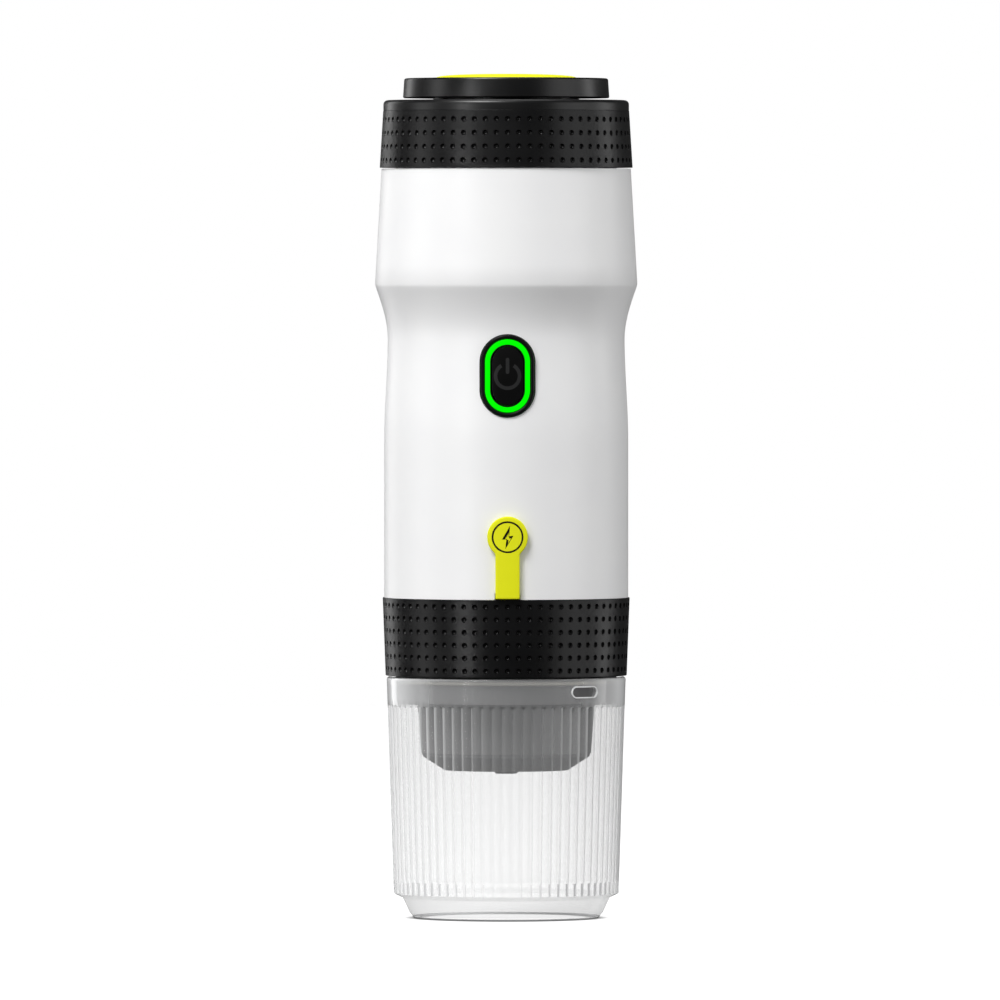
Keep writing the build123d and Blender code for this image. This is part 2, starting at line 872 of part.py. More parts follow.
def make_port_flap():
    """Silicone flap: round head, strap, hinge roll at the bottom and a plug behind the head."""
    strap_height = flap_z - flap_pivot_z
    strap = Pos(0, flap_pivot_z + strap_height / 2) * Rectangle(flap_strap_width, strap_height)
    outline = Pos(0, flap_z) * Circle(flap_head_radius) + strap
    neck = outline.vertices().sort_by(Axis.Y)[2:4]
    outline = fillet(neck, flap_neck_round)
    slab = extrude(front_plane(board_front) * outline, amount=flare_radius)
    curve = tube(flap_inner_radius, flap_outer_radius, band_top, flap_z + 2 * flap_head_radius)
    roll = Pos(0, -flap_pivot_radius, flap_pivot_z) * Rot(0, 90, 0) * Cylinder(
        flap_thickness / 2, flap_strap_width
    )
    plug_outline = Pos(0, flap_z) * SlotOverall(flap_plug_width, flap_plug_height)
    plug_length = flap_pivot_radius - flap_plug_back
    plug = extrude(front_plane(flap_plug_back) * plug_outline, amount=plug_length)
    return (slab & curve) + roll + plug


def tail_shape(grow):
    """Fixed end of the flap: a tongue under the sleeve and a neck above it, with room added."""
    width = flap_strap_width + 2 * grow
    inner = sleeve_seat_radius - tail_thickness - grow
    low = band_top - tail_length - grow
    high = band_top + tail_neck_height + grow
    outer = shell_radius + grow
    tongue = front_box(width, high - low, (high + low) / 2, board_front, flare_radius)
    profile = turned(
        (inner, low),
        (sleeve_seat_radius, low),
        (sleeve_seat_radius, band_top),
        (outer, band_top),
        (outer, high),
        (inner, high),
    )
    return tongue & profile


def make_port_flap_tail():
    """Fixed end of the flap, clamped under the lower sleeve."""
    return tail_shape(0)


# Lid


def make_lid_cap():
    """Cap with a rounded shoulder, a skirt over the tank neck and a seat for the knob."""
    rim = cap_rim_radius
    body = turned(
        (skirt_radius, lid_bottom),
        (lid_sleeve_seat_radius, lid_bottom),
        (lid_sleeve_seat_radius, lid_sleeve_top),
        (rim, lid_sleeve_top),
        (rim, cap_top),
        (0, cap_top),
        (0, cap_under),
        (skirt_radius, cap_under),
    )
    shoulder = body.edges().filter_by(GeomType.CIRCLE).group_by(Axis.Z)[-1]
    body = fillet(shoulder, cap_rim_round)
    seat = disc(knob_spigot_radius + slip_gap, cap_top - knob_spigot_depth, cap_top + 1)
    return body - seat - disc(cap_vent_radius, cap_under - 1, cap_top)


def make_lid_grip_sleeve():
    """Rubber sleeve round the skirt of the cap."""
    return sleeve(
        lid_sleeve_seat_radius,
        lid_sleeve_bottom_wall,
        lid_sleeve_top_wall,
        lid_bottom,
        lid_sleeve_top,
    )


def make_lid_knob():
    """Disc on top of the cap, on a spigot that leaves a shadow gap."""
    body = turned(
        (0, cap_top - knob_spigot_depth),
        (knob_spigot_radius, cap_top - knob_spigot_depth),
        (knob_spigot_radius, knob_bottom),
        (knob_radius, knob_bottom),
        (knob_radius - knob_taper, knob_top),
        (0, knob_top),
    )
    rim = body.edges().filter_by(GeomType.CIRCLE).group_by(Axis.Z)[-1]
    return fillet(rim, knob_round) - disc(pad_radius + slip_gap, knob_top - pad_sink, knob_top + 1)


def make_lid_pad():
    """Yellow pad with a rounded edge in the top of the knob."""
    pad = disc(pad_radius, knob_top - pad_sink, knob_top + pad_proud)
    return fillet(pad.edges().group_by(Axis.Z)[-1], pad_round)


def make_lid_liner():
    """Plug on the underside of the cap, inside the tank neck."""
    radius = tank_mouth_radius - liner_gap
    return tube(valve_stem_radius + slip_gap, radius, cap_under - liner_depth, cap_under)


def make_lid_vent_valve():
    """Umbrella valve: a stem through the liner and a thin cap below it."""
    low = cap_under - liner_depth
    umbrella = disc(valve_radius, low - valve_thickness, low)
    return umbrella + disc(valve_stem_radius, low, cap_under)


def make_lid_seal():
    """Ring between the tank neck and the underside of the cap."""
    low = tank_neck_top + move_gap
    inner = tank_mouth_radius + lid_seal_inset
    return tube(inner, tank_neck_radius - lid_seal_inset, low, low + lid_seal_thickness)


parts = {
    "cup": make_cup,
    "brew_chamber": make_brew_chamber,
    "cup_seal": make_cup_seal,
    "coffee_basket": make_coffee_basket,
    "basket_filter": make_basket_filter,
    "spout_nozzle": make_spout_nozzle,
    "brew_gasket": make_brew_gasket,
    "base_ring": make_base_ring,
    "shower_plate": make_shower_plate,
    "lower_grip_sleeve": make_lower_grip_sleeve,
    "outer_shell": make_outer_shell,
    "water_tank": make_water_tank,
    "tank_filter": make_tank_filter,
    "group_plate": make_group_plate,
    "battery_tray": make_battery_tray,
    "frame_plate": make_frame_plate,
    "frame_pillars": make_frame_pillars,
    "frame_screws": make_frame_screws,
    "battery_cells": make_battery_cells,
    "heater_block": make_heater_block,
    "pump_barrel": make_pump_barrel,
    "pump_coil": make_pump_coil,
    "pump_plunger": make_pump_plunger,
    "pump_spring": make_pump_spring,
    "inlet_hose": make_inlet_hose,
    "feed_hose": make_feed_hose,
    "control_board": make_control_board,
    "push_switch": make_push_switch,
    "charging_port": make_charging_port,
    "button_bezel": make_button_bezel,
    "light_ring": make_light_ring,
    "button_cap": make_button_cap,
    "port_flap": make_port_flap,
    "port_flap_tail": make_port_flap_tail,
    "lid_cap": make_lid_cap,
    "lid_grip_sleeve": make_lid_grip_sleeve,
    "lid_knob": make_lid_knob,
    "lid_pad": make_lid_pad,
    "lid_liner": make_lid_liner,
    "lid_vent_valve": make_lid_vent_valve,
    "lid_seal": make_lid_seal,
}

os.makedirs("parts", exist_ok=True)
for name, make in parts.items():
    export_step(make(), f"parts/{name}.step")
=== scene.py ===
"""Portable espresso machine: modelled pieces, finishes, light and camera around its frame.

Lengths in the classes are millimetres, heights are above the table and the front faces -Y.
"""

import json
import logging
import math
from collections.abc import Callable, Iterator, Sequence
from contextlib import contextmanager
from dataclasses import dataclass
from enum import Enum
from functools import cache

import bpy
from mathutils import Matrix, Vector

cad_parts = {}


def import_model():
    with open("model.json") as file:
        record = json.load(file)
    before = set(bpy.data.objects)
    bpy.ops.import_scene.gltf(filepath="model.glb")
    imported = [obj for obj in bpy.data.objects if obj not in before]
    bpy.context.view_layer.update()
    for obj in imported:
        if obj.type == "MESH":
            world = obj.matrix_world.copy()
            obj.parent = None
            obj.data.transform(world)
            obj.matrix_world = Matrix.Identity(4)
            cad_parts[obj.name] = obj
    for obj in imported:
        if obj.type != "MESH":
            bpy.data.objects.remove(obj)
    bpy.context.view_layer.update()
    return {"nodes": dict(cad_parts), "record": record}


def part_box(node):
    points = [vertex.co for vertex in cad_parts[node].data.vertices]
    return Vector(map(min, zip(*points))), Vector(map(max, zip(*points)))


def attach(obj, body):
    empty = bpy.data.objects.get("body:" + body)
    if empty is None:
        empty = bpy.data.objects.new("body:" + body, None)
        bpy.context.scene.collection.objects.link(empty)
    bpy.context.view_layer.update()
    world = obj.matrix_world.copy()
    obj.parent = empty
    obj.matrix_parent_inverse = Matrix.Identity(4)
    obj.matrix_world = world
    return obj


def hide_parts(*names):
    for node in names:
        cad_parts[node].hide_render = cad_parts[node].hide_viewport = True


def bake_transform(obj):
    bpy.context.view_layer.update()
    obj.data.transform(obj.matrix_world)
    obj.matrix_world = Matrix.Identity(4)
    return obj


LOG = logging.getLogger("espresso_machine")
MM = 0.001
WELD = 0.002  # vertices nearer than this are merged
LATHE_STEPS = 192
PILL_CORNERS = 50  # an odd number on each half, so that the straight sides are true
SMOOTH_ANGLE = 32.0
BEVEL_ANGLE = 30.0
NOISE_SPAN = (0.3, 0.7)
UNIT_SPAN = (0.0, 1.0)
HAZE = "haze"  # attribute of clear pieces: 0 is clear, 1 is milky
VEIL = "veil"  # attribute of clear pieces: 1 where the near side turns white at a slant
# painted shade: the near side of a clear piece is painted grey where the next attribute is high
PAINTED_SHADE = "shade"  # attribute of clear pieces: 1 where the near side turns grey at a slant
ACROSS = (1, 0, 0)
UPWARDS = (0, 0, 1)
NECK_FIT = 0.2
NECK_THREAD_DROP = 8.0
COLLAR_THREAD_DROP = 7.5

Pair = tuple[float, float]
Colour = tuple[float, float, float]
Outline = Sequence[Pair]
Piece = bpy.types.Object
Socket = bpy.types.NodeSocket
Rule = Callable[[Vector], Vector]


class Body(Enum):
    """Moving bodies of the machine that the pieces ride on."""

    HOUSING = "housing"
    LID = "lid"
    BUTTON = "power_button"
    FLAP = "flap"
    PLUNGER = "plunger"
    BREW_HEAD = "brew_head"
    CUP = "cup"


class Slot(Enum):
    """Material slots of the machine."""

    WHITE = "white_plastic"
    BLACK = "black_plastic"
    RUBBER = "black_rubber"
    GLOSS = "black_gloss"
    YELLOW = "yellow_silicone"
    LIGHT = "green_light"
    CLEAR = "clear_plastic"
    GREY = "grey_plastic"
    TANK = "tank_plastic"
    STEEL = "steel"
    SEAL = "seal_silicone"
    FRAME = "frame_plastic"
    CELL = "cell_wrap"
    ALLOY = "heater_alloy"
    COPPER = "copper"
    BOARD = "board_green"


# Modelling helpers


def clear_selection() -> None:
    """Deselect every object."""
    bpy.ops.object.select_all(action="DESELECT")


def activate(piece: Piece) -> None:
    """Select one object alone and make it the active one.

    Args:
        piece: The object to work on.
    """
    clear_selection()
    piece.select_set(True)
    bpy.context.view_layer.objects.active = piece


@contextmanager
def editing(piece: Piece) -> Iterator[None]:
    """Edit mode on one object, with nothing selected at the start.

    Args:
        piece: The mesh object to edit.
    """
    activate(piece)
    bpy.ops.object.mode_set(mode="EDIT")
    bpy.ops.mesh.select_all(action="DESELECT")
    yield
    bpy.ops.object.mode_set(mode="OBJECT")


def pick_vertices(piece: Piece, wanted: Callable[[Vector], bool]) -> None:
    """Select the vertices whose place passes a test, in edit mode.

    Args:
        piece: The mesh object in edit mode.
        wanted: Test of a vertex's place, in millimetres.
    """
    bpy.ops.object.mode_set(mode="OBJECT")
    for polygon in piece.data.polygons:
        polygon.select = False
    for edge in piece.data.edges:
        edge.select = False
    for vertex in piece.data.vertices:
        vertex.select = wanted(vertex.co / MM)
    bpy.ops.object.mode_set(mode="EDIT")
    bpy.ops.mesh.select_mode(type="VERT")


def new_piece(name: str) -> Piece:
    """Take the primitive that was just added, name it and bring its place into its mesh.

    Args:
        name: Name of the piece.

    Returns:
        The object, at the origin.
    """
    piece = bpy.context.active_object
    piece.name = name
    piece.data.name = name
    bpy.ops.object.transform_apply(location=True, rotation=True, scale=True)
    return piece


def weld(piece: Piece) -> None:
    """Merge doubled vertices and turn every face outwards.

    Args:
        piece: The mesh object.
    """
    with editing(piece):
        bpy.ops.mesh.select_all(action="SELECT")
        bpy.ops.mesh.remove_doubles(threshold=WELD * MM)
        bpy.ops.mesh.normals_make_consistent(inside=False)


def smooth(piece: Piece, angle: float = SMOOTH_ANGLE) -> None:
    """Shade smooth, with edges sharper than an angle kept.

    Args:
        piece: The mesh object.
        angle: The angle in degrees.
    """
    activate(piece)
    bpy.ops.object.shade_smooth_by_angle(angle=math.radians(angle))


def finish_modifier(piece: Piece, kind: str, **settings: object) -> None:
    """Add a modifier with its settings and apply it.

    Args:
        piece: The mesh object.
        kind: Blender's modifier type.
        **settings: Properties of the modifier.
    """
    activate(piece)
    modifier = piece.modifiers.new(kind.lower(), kind)
    for key, value in settings.items():
        setattr(modifier, key, value)
    bpy.ops.object.modifier_apply(modifier=modifier.name)


def round_edges(piece: Piece, width: float, segments: int) -> None:
    """Round every sharp edge.

    Args:
        piece: The mesh object.
        width: Width of the rounding.
        segments: Faces across the rounding.
    """
    finish_modifier(
        piece,
        "BEVEL",
        width=width * MM,
        segments=segments,
        limit_method="ANGLE",
        angle_limit=math.radians(BEVEL_ANGLE),
        harden_normals=False,
        use_clamp_overlap=True,
    )


def cut(piece: Piece, tool: Piece) -> None:
    """Cut one closed shape out of another and delete the tool.

    Args:
        piece: The mesh object that stays.
        tool: The shape that is cut out.
    """
    finish_modifier(piece, "BOOLEAN", operation="DIFFERENCE", object=tool, solver="EXACT")
    bpy.data.objects.remove(tool)


def lathe(
    name: str, outline: Outline, steps: int = LATHE_STEPS, angle: float = math.tau
) -> Piece:
    """Turn an outline about the main axis: one vertex is drawn along it and the line is spun.

    Args:
        name: Name of the piece.
        outline: Corners as (radius, height). A closed ring repeats its first corner at the end.
        steps: Faces round the axis.
        angle: How far it is turned. Less than a full turn gets a face at each end.

    Returns:
        The turned object.
    """
    clear_selection()
    first_radius, first_height = outline[0]
    bpy.ops.mesh.primitive_plane_add(size=MM, location=(first_radius * MM, 0, first_height * MM))
    piece = new_piece(name)
    with editing(piece):
        bpy.ops.mesh.select_all(action="SELECT")
        bpy.ops.mesh.merge(type="CENTER")
        for (radius, height), (next_radius, next_height) in zip(outline, outline[1:]):
            step = ((next_radius - radius) * MM, 0, (next_height - height) * MM)
            bpy.ops.mesh.extrude_vertices_move(TRANSFORM_OT_translate={"value": step})
        bpy.ops.mesh.select_all(action="SELECT")
        if angle < math.tau:
            bpy.ops.mesh.remove_doubles(threshold=WELD * MM)
            bpy.ops.mesh.edge_face_add()
        bpy.ops.mesh.spin(steps=steps, angle=angle, center=(0, 0, 0), axis=UPWARDS)
    weld(piece)
    return piece


def extrude_ring(piece: Piece, place: Rule) -> None:
    """Extrude the selected open ring and put each new vertex where a rule says, in edit mode.

    Args:
        piece: The mesh object in edit mode.
        place: Rule from a vertex's place to its new place, in millimetres.
    """
    bpy.ops.mesh.extrude_edges_move()
    bpy.ops.object.mode_set(mode="OBJECT")
    for vertex in piece.data.vertices:
        if vertex.select:
            vertex.co = place(vertex.co / MM) * MM
    bpy.ops.object.mode_set(mode="EDIT")


def ring_at(radius: float, height: float) -> Rule:
    """Rule that moves a vertex to a radius and height, keeping its angle about the axis.

    Args:
        radius: The new radius.
        height: The new height.

    Returns:
        The rule, for extrude_ring.
    """

    def place(point: Vector) -> Vector:
        """Place of one vertex."""
        angle = math.atan2(point.y, point.x)
        return Vector((radius * math.cos(angle), radius * math.sin(angle), height))

    return place


def move_vertices(piece: Piece, place: Rule) -> None:
    """Move every vertex by a rule, in object mode.

    Args:
        piece: The mesh object.
        place: Rule from a vertex's place to its new place, in millimetres.
    """
    for vertex in piece.data.vertices:
        vertex.co = place(vertex.co / MM) * MM


def wrap_on_front(piece: Piece, radius: float) -> None:
    """Bend a piece that was drawn flat onto the front of the round body.

    Args:
        piece: The mesh object, drawn with its depth along -Y as a radius.
        radius: Radius at which widths are true.
    """

    def place(point: Vector) -> Vector:
        """Place of one vertex on the round body."""
        angle = point.x / radius
        return Vector((-point.y * math.sin(angle), point.y * math.cos(angle), point.z))

    move_vertices(piece, place)


def slice_across(piece: Piece, normal: tuple[int, int, int], places: Sequence[float]) -> None:
    """Cut new edges across a piece, so that it can bend.

    Args:
        piece: The mesh object.
        normal: Axis that the cuts are square to.
        places: Distances along that axis.
    """
    axis = Vector(normal)
    with editing(piece):
        for distance in places:
            bpy.ops.mesh.select_all(action="SELECT")
            bpy.ops.mesh.bisect(plane_co=axis * distance * MM, plane_no=axis)


def spread(low: float, high: float, count: int) -> list[float]:
    """Evenly spaced values between two limits, without the limits.

    Args:
        low: Lower limit.
        high: Upper limit.
        count: How many.

    Returns:
        The values.
    """
    return [low + (high - low) * (index + 1) / (count + 1) for index in range(count)]


def arc(centre: Pair, radius: float, start: float, end: float, count: int) -> list[Pair]:
    """Points of an arc.

    Args:
        centre: Centre of the arc.
        radius: Its radius.
        start: First angle in degrees.
        end: Last angle in degrees.
        count: How many points.

    Returns:
        The points.
    """
    angles = [math.radians(start + (end - start) * index / (count - 1)) for index in range(count)]
    x, z = centre
    return [(x + radius * math.cos(angle), z + radius * math.sin(angle)) for angle in angles]


def sweep_between(
    start: Pair, end: Pair, start_way: Pair, end_way: Pair, count: int
) -> list[Pair]:
    """Points of a smooth curve between two points with their directions, without the first.

    Args:
        start: First point.
        end: Last point.
        start_way: Direction at the first point.
        end_way: Direction at the last point.
        count: How many points.

    Returns:
        The points.
    """
    chord = math.dist(start, end)
    start_tangent = Vector(start_way).normalized() * chord
    end_tangent = Vector(end_way).normalized() * chord
    points = []
    for index in range(1, count + 1):
        t = index / count
        point = (
            Vector(start) * (2 * t**3 - 3 * t**2 + 1)
            + start_tangent * (t**3 - 2 * t**2 + t)
            + Vector(end) * (3 * t**2 - 2 * t**3)
            + end_tangent * (t**3 - t**2)
        )
        points.append((point.x, point.y))
    return points


def pill_face(name: str, width: float, height: float, z: float, distance: float) -> Piece:
    """Flat pill-shaped face that looks to the front.

    Args:
        name: Name of the piece.
        width: Width of the pill.
        height: Height of the pill.
        z: Height of its centre.
        distance: Distance in front of the axis.

    Returns:
        The face.
    """
    clear_selection()
    bpy.ops.mesh.primitive_circle_add(
        vertices=PILL_CORNERS,
        radius=min(width, height) / 2 * MM,
        fill_type="NGON",
        location=(0, -distance * MM, z * MM),
        rotation=(math.pi / 2, math.pi / 2 if width > height else 0, 0),
    )
    piece = new_piece(name)
    stretch = Vector((max(width - height, 0), 0, max(height - width, 0))) / 2
    centre = Vector((0, -distance, z))
    with editing(piece):
        for side in (1, -1):
            pick_vertices(piece, lambda point: (point - centre).dot(stretch) * side > 0)
            bpy.ops.transform.translate(value=stretch * side * MM)
    return piece


def thicken(piece: Piece, depth: float) -> None:
    """Pull a flat face out to the front into a closed bar.

    Args:
        piece: The face.
        depth: Depth of the bar.
    """
    with editing(piece):
        bpy.ops.mesh.select_all(action="SELECT")
        bpy.ops.mesh.extrude_region_move(TRANSFORM_OT_translate={"value": (0, -depth * MM, 0)})
    weld(piece)


def flat_ring(
    name: str, width: float, height: float, rim: float, z: float, back: float, front: float
) -> Piece:
    """Pill-shaped ring, drawn flat, between two distances in front of the axis.

    Args:
        name: Name of the piece.
        width: Outer width.
        height: Outer height.
        rim: Width of the rim.
        z: Height of its centre.
        back: Distance of its back.
        front: Distance of its front.

    Returns:
        The ring.
    """
    piece = pill_face(name, width, height, z, back)
    with editing(piece):
        bpy.ops.mesh.select_all(action="SELECT")
        bpy.ops.mesh.inset(thickness=rim * MM, use_even_offset=True)
        bpy.ops.mesh.delete(type="FACE")
    thicken(piece, front - back)
    return piece


def outline_face(name: str, outline: Outline, distance: float) -> Piece:
    """Flat face with a drawn outline that looks to the front.

    Args:
        name: Name of the piece.
        outline: Corners as (x, height).
        distance: Distance in front of the axis.

    Returns:
        The face.
    """
    clear_selection()
    first_x, first_z = outline[0]
    bpy.ops.mesh.primitive_plane_add(size=MM, location=(first_x * MM, -distance * MM, first_z * MM))
    piece = new_piece(name)
    with editing(piece):
        bpy.ops.mesh.select_all(action="SELECT")
        bpy.ops.mesh.merge(type="CENTER")
        for (x, z), (next_x, next_z) in zip(outline, outline[1:]):
            step = ((next_x - x) * MM, 0, (next_z - z) * MM)
            bpy.ops.mesh.extrude_vertices_move(TRANSFORM_OT_translate={"value": step})
        bpy.ops.mesh.select_all(action="SELECT")
        bpy.ops.mesh.edge_face_add()
    return piece


def set_values(piece: Piece, name: str, rule: Callable[[Vector], float]) -> None:
    """Store a value of a clear piece's skin, vertex by vertex.

    Args:
        piece: The mesh object.
        name: The attribute's name.
        rule: The value at a vertex's place, in millimetres.
    """
    layer = piece.data.attributes.new(name, "FLOAT", "POINT")
    for vertex, entry in zip(piece.data.vertices, layer.data):
        entry.value = rule(vertex.co / MM)


def paint(piece: Piece, material: bpy.types.Material) -> None:
    """Give a piece one material all over.

    Args:
        piece: The mesh object.
        material: The material.
    """
    piece.data.materials.clear()
    piece.data.materials.append(material)


# Shared effects


def new_group(name: str, inputs: dict[str, float], outputs: Sequence[str]) -> bpy.types.NodeTree:
    """Shader group with number sockets and nothing inside yet.

    Args:
        name: Name of the group.
        inputs: Input names with their usual values.
        outputs: Output names.

    Returns:
        The group.
    """
    group = bpy.data.node_groups.new(name, "ShaderNodeTree")
    for label, value in inputs.items():
        socket = group.interface.new_socket(label, in_out="INPUT", socket_type="NodeSocketFloat")
        socket.default_value = value
    for label in outputs:
        group.interface.new_socket(label, in_out="OUTPUT", socket_type="NodeSocketFloat")
    return group


def moulded_grain_group() -> bpy.types.NodeTree:
    """Fine grain of a mould with a slow cloud over it.

    Returns:
        The group, with outputs Grain and Cloud.
    """
    scales = {"Grain scale": 2000.0, "Cloud scale": 60.0}
    group = new_group("moulded_grain", scales, ("Grain", "Cloud"))
    nodes, links = group.nodes, group.links
    source = nodes.new("NodeGroupInput")
    result = nodes.new("NodeGroupOutput")
    place = nodes.new("ShaderNodeTexCoord")
    for label, detail in (("Grain", 2.0), ("Cloud", 3.0)):
        noise = nodes.new("ShaderNodeTexNoise")
        noise.inputs["Detail"].default_value = detail
        links.new(place.outputs["Object"], noise.inputs["Vector"])
        links.new(source.outputs[f"{label} scale"], noise.inputs["Scale"])
        links.new(noise.outputs["Fac"], result.inputs[label])
    return group


def turned_lines_group() -> bpy.types.NodeTree:
    """Fine lines round the upright axis, as left by a lathe or a winding.

    Returns:
        The group, with the output Lines.
    """
    group = new_group("turned_lines", {"Line scale": 40.0, "Stretch": 40.0}, ("Lines",))
    nodes, links = group.nodes, group.links
    source = nodes.new("NodeGroupInput")
    result = nodes.new("NodeGroupOutput")
    place = nodes.new("ShaderNodeTexCoord")
    parts = nodes.new("ShaderNodeSeparateXYZ")
    stretch = nodes.new("ShaderNodeMath")
    stretch.operation = "MULTIPLY"
    joined = nodes.new("ShaderNodeCombineXYZ")
    noise = nodes.new("ShaderNodeTexNoise")
    noise.inputs["Detail"].default_value = 2.0
    links.new(place.outputs["Object"], parts.inputs["Vector"])
    links.new(parts.outputs["Z"], stretch.inputs[0])
    links.new(source.outputs["Stretch"], stretch.inputs[1])
    links.new(parts.outputs["X"], joined.inputs["X"])
    links.new(parts.outputs["Y"], joined.inputs["Y"])
    links.new(stretch.outputs["Value"], joined.inputs["Z"])
    links.new(joined.outputs["Vector"], noise.inputs["Vector"])
    links.new(source.outputs["Line scale"], noise.inputs["Scale"])
    links.new(noise.outputs["Fac"], result.inputs["Lines"])
    return group


# Finishes


class Shader:
    """A new material with its Principled shader, and short ways to wire it."""

    def __init__(self, name: str) -> None:
        """Make the material.

        Args:
            name: Name of the material.
        """
        self.material = bpy.data.materials.new(name)
        self.material.use_nodes = True
        self.nodes = self.material.node_tree.nodes
        self.links = self.material.node_tree.links
        self.principled = self.nodes["Principled BSDF"]

    def constant(self, **values: object) -> None:
        """Set sockets of the Principled shader that are the same all over.

        Args:
            **values: Socket names, with _ for a space, and their values.
        """
        for key, value in values.items():
            self.principled.inputs[key.replace("_", " ")].default_value = value

    def group(self, name: str, **values: float) -> bpy.types.Node:
        """Place a shared group with its own values.

        Args:
            name: Name of the group.
            **values: Input names, with _ for a space, and their values.

        Returns:
            The group's node.
        """
        node = self.nodes.new("ShaderNodeGroup")
        node.node_tree = bpy.data.node_groups[name]
        for key, value in values.items():
            node.inputs[key.replace("_", " ")].default_value = value
        return node

    def ramp(self, value: Socket, low: float, high: float, span: Pair = NOISE_SPAN) -> Socket:
        """Spread a value between two numbers.

        Args:
            value: The value.
            low: Result at the low end.
            high: Result at the high end.
            span: The value's own low and high end, usually those of a noise.

        Returns:
            The result's socket.
        """
        node = self.nodes.new("ShaderNodeMapRange")
        for key, number in zip(("From Min", "From Max", "To Min", "To Max"), (*span, low, high)):
            node.inputs[key].default_value = number
        self.links.new(value, node.inputs["Value"])
        return node.outputs["Result"]

    def tone(self, value: Socket, first: Colour, second: Colour) -> Socket:
        """Mix two colours by a value with the span of a noise.

        Args:
            value: The value.
            first: Colour at the low end.
            second: Colour at the high end.

        Returns:
            The colour's socket.
        """
        node = self.nodes.new("ShaderNodeMix")
        node.data_type = "RGBA"
        node.inputs[6].default_value = (*first, 1.0)
        node.inputs[7].default_value = (*second, 1.0)
        self.links.new(self.ramp(value, 0.0, 1.0), node.inputs[0])
        return node.outputs[2]

    def attribute(self, name: str) -> Socket:
        """Value of one of the piece's own attributes."""
        node = self.nodes.new("ShaderNodeAttribute")
        node.attribute_name = name
        return node.outputs["Fac"]

    def combine(self, operation: str, first: Socket, second: Socket) -> Socket:
        """Combine two values and hold the result between 0 and 1.

        Args:
            operation: The Math node's operation.
            first: First value.
            second: Second value.

        Returns:
            The result's socket.
        """
        node = self.nodes.new("ShaderNodeMath")
        node.operation = operation
        node.use_clamp = True
        self.links.new(first, node.inputs[0])
        self.links.new(second, node.inputs[1])
        return node.outputs["Value"]

    def feed(self, socket: Socket, name: str) -> None:
        """Link a value to a socket of the Principled shader."""
        self.links.new(socket, self.principled.inputs[name])

    def bump(self, height: Socket, depth: float) -> None:
        """Raise the surface by a height value.

        Args:
            height: The height, from 0 to 1.
            depth: Depth of the relief.
        """
        node = self.nodes.new("ShaderNodeBump")
        node.inputs["Distance"].default_value = depth * MM
        self.links.new(height, node.inputs["Height"])
        self.feed(node.outputs["Normal"], "Normal")


@dataclass(frozen=True)
class MouldedFinish:
    """Moulded plastic, rubber or silicone with a fine grain."""

    slot: Slot
    colour: Colour
    cloud: Colour
    roughness: Pair
    grain: float = 0.4
    depth: float = 0.01
    cloud_size: float = 14.0
    specular: float = 0.5
    coat: float = 0.0
    coat_roughness: float = 0.12

    def make(self) -> bpy.types.Material:
        """Build the material.

        Returns:
            The material.
        """
        shader = Shader(self.slot.value)
        shader.constant(Specular_IOR_Level=self.specular)
        shader.constant(Coat_Weight=self.coat, Coat_Roughness=self.coat_roughness)
        scales = {"Grain_scale": 1 / (self.grain * MM), "Cloud_scale": 1 / (self.cloud_size * MM)}
        effect = shader.group("moulded_grain", **scales)
        shader.feed(shader.tone(effect.outputs["Cloud"], self.colour, self.cloud), "Base Color")
        shader.feed(shader.ramp(effect.outputs["Cloud"], *self.roughness), "Roughness")
        shader.bump(effect.outputs["Grain"], self.depth)
        return shader.material


@dataclass(frozen=True)
class TurnedMetal:
    """Bare metal, or a copper winding, with fine lines round its axis."""

    slot: Slot
    colour: Colour
    shade: Colour
    roughness: Pair
    line: float = 0.25
    depth: float = 0.01
    line_scale: float = 30.0

    def make(self) -> bpy.types.Material:
        """Build the material.

        Returns:
            The material.
        """
        shader = Shader(self.slot.value)
        shader.constant(Metallic=1.0)
        stretch = 1 / (self.line * MM * self.line_scale)
        effect = shader.group("turned_lines", Line_scale=self.line_scale, Stretch=stretch)
        shader.feed(shader.tone(effect.outputs["Lines"], self.shade, self.colour), "Base Color")
        shader.feed(shader.ramp(effect.outputs["Lines"], *self.roughness), "Roughness")
        shader.bump(effect.outputs["Lines"], self.depth)
        return shader.material


